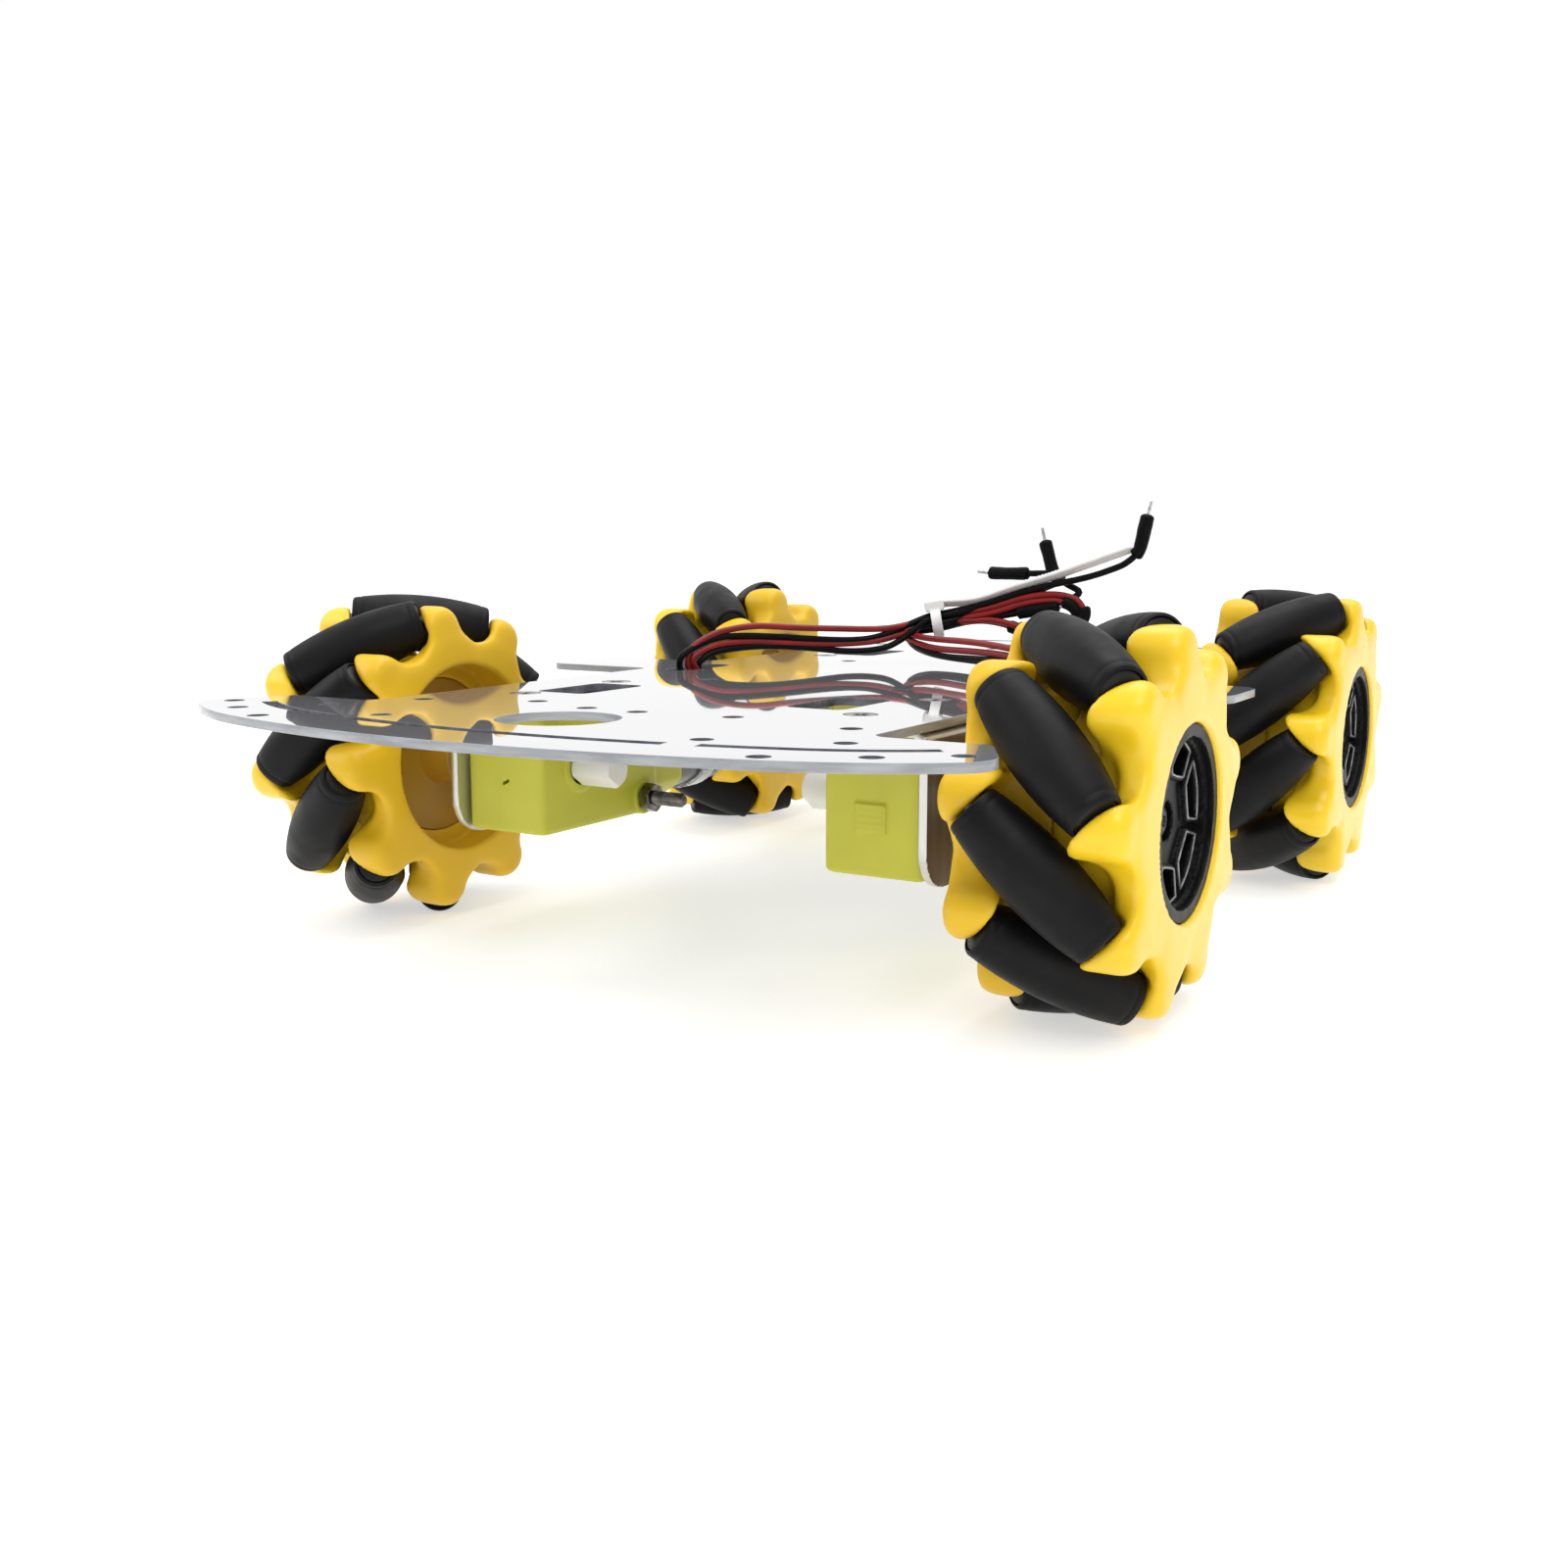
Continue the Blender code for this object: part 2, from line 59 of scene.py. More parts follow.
# ---- camera -------------------------------------------------------------------------------
cam = bpy.data.objects.new("camera", bpy.data.cameras.new("camera"))
scene.collection.objects.link(cam)
cam.location = Vector((157.85, -299.26, 75.68)) * MM
_az, _el = math.radians(31.01), math.radians(8.83)
cam.rotation_mode = "QUATERNION"
cam.rotation_quaternion = Vector((-math.sin(_az) * math.cos(_el), math.cos(_az) * math.cos(_el),
                                  -math.sin(_el))).to_track_quat("-Z", "Y")
cam.data.sensor_width = 36.0
cam.data.lens = 35.83
cam.data.clip_start = 0.01
cam.data.clip_end = 20.0
scene.camera = cam

# ---- sizes --------------------------------------------------------------------------------
WHEEL_R, WHEEL_X, WHEEL_Y, HALF_W = 32.5, 74.3, 62.9, 15.3
AXIS_R, ROLLER_HALF = 26.6, 13.75
WHEELS = (  # name, side, end, first roller's angle, lean
    ("front_left", 1, -1, 29.15, -1),
    ("front_right", -1, -1, 17.45, -1),
    ("rear_left", 1, 1, 22.74, 1),
    ("rear_right", -1, 1, 29.15, 1),
)


# ---- materials ----------------------------------------------------------------------------
def new_material(name, base, roughness, metallic=0.0, **sockets):
    m = bpy.data.materials.new(name)
    m.use_nodes = True
    tree = m.node_tree
    b = tree.nodes["Principled BSDF"]
    b.inputs["Base Color"].default_value = (*base, 1.0)
    b.inputs["Roughness"].default_value = roughness
    b.inputs["Metallic"].default_value = metallic
    for key, value in sockets.items():
        b.inputs[key.replace("_", " ")].default_value = value
    return m, tree, b


def noise(tree, scale, detail=3.0, stretch=None, rough=0.5):
    """A noise texture on the object's own coordinates; scale is per metre."""
    coord = tree.nodes.new("ShaderNodeTexCoord")
    source = coord.outputs["Object"]
    if stretch is not None:
        mapping = tree.nodes.new("ShaderNodeMapping")
        mapping.inputs["Scale"].default_value = stretch
        tree.links.new(source, mapping.inputs["Vector"])
        source = mapping.outputs["Vector"]
    n = tree.nodes.new("ShaderNodeTexNoise")
    n.inputs["Scale"].default_value = scale
    n.inputs["Detail"].default_value = detail
    n.inputs["Roughness"].default_value = rough
    tree.links.new(source, n.inputs["Vector"])
    return n.outputs["Fac"]


def ramp(tree, fac, low, high, a, b):
    """Colour a below low, b above high."""
    r = tree.nodes.new("ShaderNodeValToRGB")
    r.color_ramp.elements[0].position = low
    r.color_ramp.elements[0].color = (*a, 1.0)
    r.color_ramp.elements[1].position = high
    r.color_ramp.elements[1].color = (*b, 1.0)
    tree.links.new(fac, r.inputs["Fac"])
    return r.outputs["Color"]


def spread(tree, fac, low, high):
    """The noise mapped to a range of values."""
    r = tree.nodes.new("ShaderNodeMapRange")
    r.inputs["From Min"].default_value = 0.3
    r.inputs["From Max"].default_value = 0.7
    r.inputs["To Min"].default_value = low
    r.inputs["To Max"].default_value = high
    tree.links.new(fac, r.inputs["Value"])
    return r.outputs["Result"]


def bump(tree, shader, height, strength, distance):
    n = tree.nodes.new("ShaderNodeBump")
    n.inputs["Strength"].default_value = strength
    n.inputs["Distance"].default_value = distance
    tree.links.new(height, n.inputs["Height"])
    tree.links.new(n.outputs["Normal"], shader.inputs["Normal"])


def varied(name, a, b, rough, scale, grain, grain_strength, metallic=0.0, stretch=None,
           grain_depth=0.00005, **sockets):
    """A material whose colour and roughness drift over the surface, with a fine grain."""
    m, tree, shader = new_material(name, a, rough[0], metallic, **sockets)
    drift = noise(tree, scale, 3.0, stretch)
    tree.links.new(ramp(tree, drift, 0.3, 0.7, a, b), shader.inputs["Base Color"])
    tree.links.new(spread(tree, noise(tree, scale * 2.7, 4.0, stretch), *rough),
                   shader.inputs["Roughness"])
    if grain_strength:
        bump(tree, shader, noise(tree, grain, 2.0, stretch), grain_strength, grain_depth)
    return m


YELLOW = varied("yellow_moulded_plastic", (0.90, 0.610, 0.018), (0.84, 0.545, 0.014),
                (0.25, 0.36), 38, 1500, 0.10, Specular_IOR_Level=0.45)
# a darker, more orange copy of the yellow for the inner side plates: painted shade
YELLOW_PAINTED_SHADE = varied("yellow_moulded_plastic_painted_shade", (0.83, 0.520, 0.016), (0.77, 0.465, 0.013),
                     (0.36, 0.46), 38, 1500, 0.10, Specular_IOR_Level=0.35)
# a brown copy of the yellow for the web deep in the inner recess: painted shade
YELLOW_WEB_PAINTED_SHADE = varied("yellow_moulded_plastic_web_painted_shade", (0.47, 0.262, 0.018), (0.38, 0.205, 0.013),
                    (0.36, 0.46), 38, 1500, 0.10, Specular_IOR_Level=0.35)
RUBBER = varied("roller_rubber", (0.0040, 0.0040, 0.0047), (0.0068, 0.0068, 0.0077),
                (0.42, 0.56), 90, 3200, 0.22, Specular_IOR_Level=0.16)
CORE = varied("roller_core_plastic", (0.006, 0.006, 0.0065), (0.010, 0.010, 0.0105),
              (0.36, 0.46), 120, 1500, 0.1, Specular_IOR_Level=0.25)
HUB = varied("black_gloss_plastic", (0.0030, 0.0030, 0.0034), (0.0052, 0.0052, 0.0058),
             (0.34, 0.46), 80, 1200, 0.12, Specular_IOR_Level=0.12)
# pale grey beads on the black hub: painted highlight on the rib edges
BEAD_PAINTED_HIGHLIGHT = varied("hub_bead_painted_highlight", (0.34, 0.34, 0.34), (0.10, 0.10, 0.10), (0.14, 0.24), 420,
              1200, 0.1, Specular_IOR_Level=0.6)
GEARCASE = varied("gearbox_plastic", (0.560, 0.545, 0.046), (0.480, 0.470, 0.036),
                  (0.34, 0.44), 45, 1300, 0.08, Specular_IOR_Level=0.40,
                  Subsurface_Weight=0.12, Subsurface_Scale=0.003,
                  Subsurface_Radius=(1.0, 1.0, 0.25))
SHEET = varied("bracket_aluminium", (0.70, 0.69, 0.67), (0.56, 0.55, 0.53), (0.28, 0.44), 30,
               900, 0.12, metallic=0.85, stretch=(1.0, 14.0, 1.0))
# a dark brown copy of the bracket metal for its outer side: painted reflection of the wheel and painted
# shade
SHEET_PAINTED_REFLECTION = varied("bracket_aluminium_painted_reflection", (0.20, 0.175, 0.15), (0.14, 0.12, 0.10),
                    (0.30, 0.46), 30, 900, 0.12, metallic=0.7, stretch=(1.0, 14.0, 1.0))
# the motor can's steel is darkened: painted shade under the deck
CAN_PAINTED_SHADE = varied("motor_can_steel_painted_shade", (0.20, 0.20, 0.20), (0.13, 0.13, 0.13), (0.24, 0.36), 60, 1400,
             0.08, metallic=1.0, stretch=(1.0, 8.0, 1.0))
ZINC = varied("zinc_steel", (0.26, 0.25, 0.23), (0.060, 0.055, 0.050), (0.14, 0.28), 420, 2500,
              0.08, metallic=1.0)
SCREW = varied("blackened_screw", (0.030, 0.030, 0.031), (0.018, 0.018, 0.019), (0.30, 0.42),
               500, 2500, 0.08, metallic=0.6)
PIN = varied("pin_steel", (0.16, 0.16, 0.16), (0.10, 0.10, 0.10), (0.30, 0.42), 300, 2500, 0.05,
             metallic=1.0)
NYLON = varied("white_nylon", (0.80, 0.80, 0.76), (0.74, 0.74, 0.70), (0.38, 0.50), 200, 1500,
               0.08, Subsurface_Weight=0.35, Subsurface_Scale=0.002)
TIE = varied("tie_nylon", (0.88, 0.88, 0.87), (0.80, 0.80, 0.79), (0.34, 0.46), 260, 1800, 0.1,
             Subsurface_Weight=0.15, Subsurface_Scale=0.0012)
RED = varied("red_wire_insulation", (0.290, 0.011, 0.010), (0.170, 0.006, 0.006), (0.32, 0.44),
             130, 2500, 0.12, Specular_IOR_Level=0.35)
BLACK_WIRE = varied("black_wire_insulation", (0.0025, 0.0025, 0.0028), (0.0050, 0.0047, 0.0050),
                    (0.30, 0.42), 130, 2500, 0.12, Specular_IOR_Level=0.10)
SLEEVE = varied("heat_shrink", (0.0022, 0.0022, 0.0025), (0.0045, 0.0045, 0.0048), (0.40, 0.54),
                300, 1400, 0.45, grain_depth=0.0001, Specular_IOR_Level=0.08)
TIN = varied("tinned_copper", (0.60, 0.60, 0.60), (0.40, 0.39, 0.37), (0.24, 0.38), 900, 3000,
             0.3, metallic=1.0)
STRAP = varied("clear_strap", (0.80, 0.83, 0.82), (0.76, 0.79, 0.78), (0.12, 0.2), 90, 1200,
               0.05, Transmission_Weight=0.75, IOR=1.49)

ACRYLIC = varied("acrylic_sheet", (0.46, 0.462, 0.485), (0.40, 0.402, 0.425), (0.025, 0.05), 16,
                 60, 0.0, Specular_IOR_Level=0.75, IOR=1.6, Coat_Weight=1.0,
                 Coat_Roughness=0.015, Coat_IOR=1.7, Transmission_Weight=0.12)
EDGE = varied("acrylic_cut_edge", (0.27, 0.28, 0.30), (0.44, 0.455, 0.475), (0.14, 0.28), 110,
              900, 0.25, stretch=(1.0, 1.0, 9.0), Transmission_Weight=0.15, IOR=1.49)
# the walls of holes and slots are dark grey: painted shade
CUT_PAINTED_SHADE = varied("acrylic_hole_wall_painted_shade", (0.055, 0.057, 0.070), (0.14, 0.145, 0.165), (0.20, 0.34), 260,
             900, 0.2, Specular_IOR_Level=0.3)


# ---- mesh tools ---------------------------------------------------------------------------
def link(obj, mat=None):
    scene.collection.objects.link(obj)
    if mat is not None:
        obj.data.materials.append(mat)
    return obj


def outward(verts, faces):
    """The faces of a closed mesh turned so that they point out."""
    v = np.asarray(verts, float)
    total = 0.0
    for f in (faces if isinstance(faces, list) else [faces]):
        f = np.asarray(f)
        for k in range(1, f.shape[1] - 1):
            total += np.einsum("ij,ij->i", v[f[:, 0]],
                               np.cross(v[f[:, k]], v[f[:, k + 1]])).sum()
    if isinstance(faces, list):
        return [np.asarray(f)[:, ::-1] for f in faces] if total < 0 else faces
    return np.asarray(faces)[:, ::-1] if total < 0 else np.asarray(faces)


def mesh_of(name, verts, faces, smooth=True, sharp=None):
    """verts in millimetres; faces an index array, or a list of arrays of unlike widths."""
    faces = outward(verts, faces)
    groups = faces if isinstance(faces, list) else [faces]
    mesh = bpy.data.meshes.new(name)
    loops = np.concatenate([np.asarray(g).ravel() for g in groups])
    sizes = np.concatenate([np.full(len(g), np.asarray(g).shape[1]) for g in groups])
    mesh.vertices.add(len(verts))
    mesh.vertices.foreach_set("co", (np.asarray(verts, float) * MM).astype(np.float32).ravel())
    mesh.loops.add(len(loops))
    mesh.loops.foreach_set("vertex_index", loops.astype(np.int32))
    mesh.polygons.add(len(sizes))
    mesh.polygons.foreach_set("loop_start",
                              np.concatenate([[0], np.cumsum(sizes)[:-1]]).astype(np.int32))
    mesh.polygons.foreach_set("loop_total", sizes.astype(np.int32))
    mesh.update(calc_edges=True)
    mesh.validate()
    if smooth:
        mesh.shade_smooth()
    if sharp is not None:
        mesh.set_sharp_from_angle(angle=math.radians(sharp))
    return mesh


def piece(name, verts, faces, mat, body, sharp=None, replaces=()):
    obj = link(bpy.data.objects.new(name, mesh_of(name, verts, faces, sharp=sharp)), mat)
    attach(obj, body)
    if replaces:
        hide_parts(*replaces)
    return obj


def join(parts):
    """Several (verts, faces) as one."""
    verts, groups, base = [], {}, 0
    for v, f in parts:
        v = np.asarray(v, float)
        for g in (f if isinstance(f, list) else [f]):
            g = np.asarray(g)
            groups.setdefault(g.shape[1], []).append(g + base)
        verts.append(v)
        base += len(v)
    return np.concatenate(verts), [np.concatenate(g) for g in groups.values()]


def smin(a, b, k):
    h = np.clip(0.5 + 0.5 * (b - a) / k, 0.0, 1.0)
    return b + (a - b) * h - k * h * (1.0 - h)


def smax(a, b, k):
    return -smin(-a, -b, k)


CORNERS = [(i, j, k) for i in (0, 1) for j in (0, 1) for k in (0, 1)]
EDGES = [(a, b) for a in range(8) for b in range(a + 1, 8)
         if sum(x != y for x, y in zip(CORNERS[a], CORNERS[b])) == 1]


def solid_of(field, lo, hi, pitch, polish=3):
    """The surface where a distance field is zero, as one closed mesh of quads."""
    axes = [np.arange(l - pitch, h + 1.5 * pitch, pitch) for l, h in zip(lo, hi)]
    grid = np.meshgrid(*axes, indexing="ij")
    val = field(*grid).astype(np.float32)
    n = [s - 1 for s in val.shape]
    neg = val < 0

    def corner(a, c):
        return a[c[0]:c[0] + n[0], c[1]:c[1] + n[1], c[2]:c[2] + n[2]]

    count = sum(corner(neg, c).astype(np.int8) for c in CORNERS)
    cells = np.argwhere((count > 0) & (count < 8))
    index = -np.ones(n, np.int64)
    index[tuple(cells.T)] = np.arange(len(cells))
    cv = np.stack([val[tuple((cells + c).T)] for c in CORNERS], 1)
    total, hits = np.zeros((len(cells), 3)), np.zeros(len(cells))
    for a, b in EDGES:
        va, vb = cv[:, a], cv[:, b]
        cross = (va < 0) != (vb < 0)
        t = np.where(cross, va / np.where(cross, va - vb, 1.0), 0.0)
        p = np.array(CORNERS[a]) + t[:, None] * (np.array(CORNERS[b]) - np.array(CORNERS[a]))
        total += np.where(cross[:, None], p, 0.0)
        hits += cross
    verts = np.array([a[0] for a in axes]) + (cells + total / hits[:, None]) * pitch
    quads = []
    for ax in range(3):
        o1, o2 = [x for x in range(3) if x != ax]
        sl_a = [slice(None)] * 3
        sl_b = [slice(None)] * 3
        sl_a[ax], sl_b[ax] = slice(0, -1), slice(1, None)
        flips = neg[tuple(sl_a)] != neg[tuple(sl_b)]
        at = np.argwhere(flips)
        at = at[(at[:, o1] > 0) & (at[:, o2] > 0) & (at[:, o1] < n[o1]) & (at[:, o2] < n[o2])]
        first = neg[tuple(at.T)]
        ring = []
        for d1, d2 in ((-1, -1), (0, -1), (0, 0), (-1, 0)):
            q = at.copy()
            q[:, o1] += d1
            q[:, o2] += d2
            ring.append(index[tuple(q.T)])
        q = np.stack(ring, 1)
        turn = first if ax != 1 else ~first
        q[~turn] = q[~turn][:, ::-1]
        quads.append(q)
    quads = np.concatenate(quads)
    h = 0.02
    for _ in range(polish):
        x, y, z = verts.T
        f = field(x, y, z)
        g = np.stack([field(x + h, y, z) - field(x - h, y, z),
                      field(x, y + h, z) - field(x, y - h, z),
                      field(x, y, z + h) - field(x, y, z - h)], 1) / (2 * h)
        size = np.maximum((g * g).sum(1), 0.2)
        step = -(f / size)[:, None] * g
        far = np.linalg.norm(step, axis=1, keepdims=True)
        verts = verts + step * np.minimum(1.0, 0.45 * pitch / np.maximum(far, 1e-9))
    return verts, quads


def lathe(profile, steps, twist=None):
    """A closed outline (radius, height) turned about Z. twist(angle, height) adds to a radius."""
    p = np.array(profile, float)
    a = np.arange(steps) * 2 * math.pi / steps
    r = np.repeat(p[:, :1], steps, 1)
    if twist is not None:
        r = r + twist(a[None, :], p[:, 1:2], r)
    v = np.stack([r * np.cos(a), r * np.sin(a), np.repeat(p[:, 1:2], steps, 1)], 2).reshape(-1, 3)
    i = np.arange(len(p))
    j = np.arange(steps)
    I, J = np.meshgrid(i, j, indexing="ij")
    I2, J2 = (I + 1) % len(p), (J + 1) % steps
    f = np.stack([I * steps + J, I * steps + J2, I2 * steps + J2, I2 * steps + J], 2)
    return v, f.reshape(-1, 4)


def rod(profile, steps, twist=None):
    """A solid turned piece: an open outline (radius, height) whose two ends are closed flat."""
    p = np.array(profile, float)
    a = np.arange(steps) * 2 * math.pi / steps
    r = np.repeat(p[:, :1], steps, 1)
    if twist is not None:
        r = r + twist(a[None, :], p[:, 1:2], r)
    v = np.stack([r * np.cos(a), r * np.sin(a), np.repeat(p[:, 1:2], steps, 1)], 2).reshape(-1, 3)
    I, J = np.meshgrid(np.arange(len(p) - 1), np.arange(steps), indexing="ij")
    J2 = (J + 1) % steps
    f = np.stack([I * steps + J, I * steps + J2, (I + 1) * steps + J2, (I + 1) * steps + J], 2)
    ends = np.array([[0.0, 0.0, p[0, 1]], [0.0, 0.0, p[-1, 1]]])
    base = len(v)
    j = np.arange(steps)
    caps = np.concatenate([
        np.stack([np.full(steps, base), (j + 1) % steps, j], 1),
        np.stack([np.full(steps, base + 1), (len(p) - 1) * steps + j,
                  (len(p) - 1) * steps + (j + 1) % steps], 1)])
    return np.concatenate([v, ends]), [f.reshape(-1, 4), caps]


def move(part, x, y, z, at):
    """A part whose local axes become x, y, z and whose origin goes to a point."""
    v, f = part
    m = np.array([x, y, z], float)
    return np.asarray(v) @ m + np.asarray(at, float), f


def block(lo, hi, edge, steps=2):
    """A box with rounded edges."""
    bm = bmesh.new()
    bmesh.ops.create_cube(bm, size=1.0)
    size = np.array(hi, float) - np.array(lo, float)
    mid = (np.array(hi, float) + np.array(lo, float)) / 2
    for v in bm.verts:
        v.co = Vector(mid + np.array(v.co) * size)
    bmesh.ops.bevel(bm, geom=bm.edges[:], offset=edge, segments=steps, profile=0.5,
                    affect="EDGES")
    verts = np.array([v.co for v in bm.verts])
    groups = {}
    for f in bm.faces:
        groups.setdefault(len(f.verts), []).append([v.index for v in f.verts])
    bm.free()
    return verts, [np.array(g) for g in groups.values()]


# ---- wheel frame: two moulded side plates with petals --------------------------------------
def roller_reach(s):
    return np.sqrt(np.maximum(WHEEL_R ** 2 - s * s / 2, 0.0)) - AXIS_R


def wheel_field(x, y, z):
    """x points out of the wheel's outer face; the first roller is along +y, lean +1."""
    rho = np.hypot(y, z)
    th = np.degrees(np.arctan2(z, y))
    ax = np.abs(x)
    sign = np.where(x >= 0, 1.0, -1.0)
    drum = smax(rho - 20.1, ax - 15.3, 0.6)
    flange = smax(rho - 23.2, np.abs(ax - 12.7) - 2.6, 2.0)
    body = smin(drum, flange, 2.2)
    fold = np.mod(th - 23.0 * sign + 20.0, 40.0) - 20.0
    lobes = None
    beta = np.radians(-23.0) * sign
    cu, cw = AXIS_R * np.cos(beta), AXIS_R * np.sin(beta)
    tu, tw = -np.sin(beta), np.cos(beta)
    for k in (-1, 0, 1):
        a = np.radians(fold - 40.0 * k)
        u, w = rho * np.cos(a), rho * np.sin(a)
        reach = np.clip(u, 15.0, 26.2)
        wide = 4.75 + 0.35 * np.clip((22.0 - u) / 6.0, 0.0, 1.0)
        post = np.hypot(u - reach, w) - wide
        s = (x + (u - cu) * tu + (w - cw) * tw) / math.sqrt(2.0)
        one = smax(post, ax - 15.3, 3.8)
        one = smax(one, 13.88 - sign * s, 1.7)
        lobes = one if lobes is None else smin(lobes, one, 1.6)
    d = smin(body, lobes, 4.6)
    d = smax(d, ax - 15.3, 1.2)
    d = smax(d, rho - 31.5, 1.5)
    # nothing of the frame stands in a roller's way
    rf = np.mod(th + 20.0, 40.0) - 20.0
    for k in (-1, 0, 1):
        a = np.radians(rf - 40.0 * k)
        u, w = rho * np.cos(a), rho * np.sin(a)
        s = (x + w) / math.sqrt(2.0)
        q = np.sqrt((u - AXIS_R) ** 2 + ((x - w) / math.sqrt(2.0)) ** 2)
        roller = np.maximum(q - roller_reach(s), np.abs(s) - ROLLER_HALF)
        d = smax(d, 0.26 - roller, 0.35)
    d = smax(d, -smax(rho - 18.7, x + 8.0, 0.6), 0.5)
    return smax(d, 15.75 - rho, 0.5)


outer_shape = solid_of(lambda x, y, z: smax(wheel_field(x, y, z), 0.05 - x, 0.15),
                       (0.0, -32.0, -32.0), (15.4, 32.0, 32.0), 0.62)
inner_shape = solid_of(lambda x, y, z: smax(wheel_field(x, y, z), x + 0.05, 0.15),
                       (-15.4, -32.0, -32.0), (0.0, 32.0, 32.0), 0.62)


# ---- hub ----------------------------------------------------------------------------------
def hub_field(x, y, z):
    rho = np.hypot(y, z)
    fold = np.radians(np.abs(np.mod(np.degrees(np.arctan2(z, y)), 60.0) - 30.0))
    e = rho * np.sin(np.radians(30.0) - fold)
    flat = rho * np.cos(fold)
    pocket = np.maximum(np.maximum(1.45 - e, 7.5 - flat), rho - 12.5)   # a window, inside < 0
    hexa = flat - 5.3

    def slab(d2, a, b):
        return np.maximum(d2, np.maximum(a - x, x - b))

    rim = slab(np.maximum(13.5 - rho, rho - 15.6), 3.4, 14.7)
    plate = slab(rho - 14.0, 3.6, 5.0)
    web = slab(np.maximum(-pocket, rho - 14.0), 3.6, 11.2)
    lips = slab(np.maximum(-pocket, pocket - 0.9), 3.6, 12.1)
    collar = slab(np.maximum(12.9 - rho, rho - 14.4), 3.6, 13.2)
    boss = slab(hexa, -5.9, 11.0)
    d = smin(np.minimum(np.minimum(rim, plate), np.minimum(web, lips)), np.minimum(collar, boss),
             0.25)
    hole = np.maximum(rho - 3.1, 9.6 - x)
    bore = np.maximum(rho - 2.75, x - 1.5)
    return np.maximum(np.maximum(d, -hole), -bore)


hub_shape = solid_of(hub_field, (-6.0, -15.7, -15.7), (14.8, 15.7, 15.7), 0.42, polish=2)



def hub_beads():
    """A thin bead round each of the hub's six windows, pale grey: a painted highlight on the window
    edges.
    """
    half = [(7.5, -2.66), (7.5, 2.66), (11.48, 4.95)]
    arc_ = [(12.5 * math.cos(t), 12.5 * math.sin(t))
            for t in np.linspace(math.atan2(4.95, 11.48), -math.atan2(4.95, 11.48), 9)]
    corners = [np.array(q) for q in half + arc_[1:]]
    loop = []
    for a, b in zip(corners, corners[1:] + corners[:1]):
        n = max(1, int(np.linalg.norm(b - a) / 0.7))
        loop += [a + (b - a) * i / n for i in range(n)]
    loop = np.array(loop)
    grow = loop * (1 + 0.35 / np.linalg.norm(loop - (10.0, 0.0), axis=1, keepdims=True)) \
        - np.array((10.0, 0.0)) * 0.35 / np.linalg.norm(loop - (10.0, 0.0), axis=1, keepdims=True)
    n, steps = len(grow), 8
    tan = np.roll(grow, -1, 0) - np.roll(grow, 1, 0)
    tan /= np.linalg.norm(tan, axis=1, keepdims=True)
    side = np.stack([-tan[:, 1], tan[:, 0]], 1)
    ang = np.arange(steps) * 2 * math.pi / steps
    ring = grow[:, None, :] + 0.2 * np.cos(ang)[None, :, None] * side[:, None, :]
    high = np.broadcast_to(12.15 + 0.2 * np.sin(ang)[None, :], (n, steps))
    I, J = np.meshgrid(np.arange(n), np.arange(steps), indexing="ij")
    I2, J2 = (I + 1) % n, (J + 1) % steps
    f = np.stack([I * steps + J, I * steps + J2, I2 * steps + J2, I2 * steps + J], 2).reshape(-1, 4)
    parts = []
    for k in range(6):
        t = math.radians(30 + 60 * k)
        y = ring[..., 0] * math.cos(t) - ring[..., 1] * math.sin(t)
        z = ring[..., 0] * math.sin(t) + ring[..., 1] * math.cos(t)
        parts.append((np.stack([high, y, z], 2).reshape(-1, 3), f))
    return join(parts)


bead_shape = hub_beads()

# ---- roller, its hard core and pin ---------------------------------------------------------
_s = [x for x in np.linspace(-13.3, 13.3, 25)]
_groove = []
for x in sorted(set(np.round(_s, 3)) | {-12.45, -12.2, -11.95, 11.95, 12.2, 12.45}):
    r = float(roller_reach(np.float64(x)))
    if abs(abs(x) - 12.2) < 0.01:
        r -= 0.09
    _groove.append((r - 0.03 - 0.12 * (x / 13.75) ** 2, x))
_end = float(roller_reach(np.float64(13.5))) - 0.15
tyre_outline = ([(3.65, -13.6), (_end - 0.55, -13.75), (_end - 0.18, -13.62)] + _groove
                + [(_end - 0.18, 13.62), (_end - 0.55, 13.75), (3.65, 13.6)])
tyre_shape = lathe(tyre_outline, 56)
core_shape = lathe([(1.15, -13.7), (3.2, -13.7), (3.55, -13.45), (3.55, 13.45), (3.2, 13.7),
                    (1.15, 13.7)], 28)
pin_shape = rod([(0.8, -16.3), (1.0, -16.1), (1.0, 16.1), (0.8, 16.3)], 14)
sleeve_shape = lathe([(2.8, -14.2), (4.8, -14.2), (5.1, -13.9), (5.5, -8.6), (6.0, -7.7), (7.0, -7.3),
                      (15.55, -7.2), (15.6, -6.2), (2.8, -6.1)], 64)
screw_shape = rod([(1.4, -7.0), (1.4, 0.0), (2.65, 0.1), (2.7, 0.4), (2.3, 0.85), (1.5, 1.1),
                   (0.95, 1.1), (0.7, 0.45)], 28)


def shaft_twist(a, h, r):
    """Two flats on the output shaft."""
    flat = np.where(r > 2.9, r - 0.55, 1.85) / np.maximum(np.abs(np.sin(a)), 1e-6)
    return np.minimum(r, flat) - r


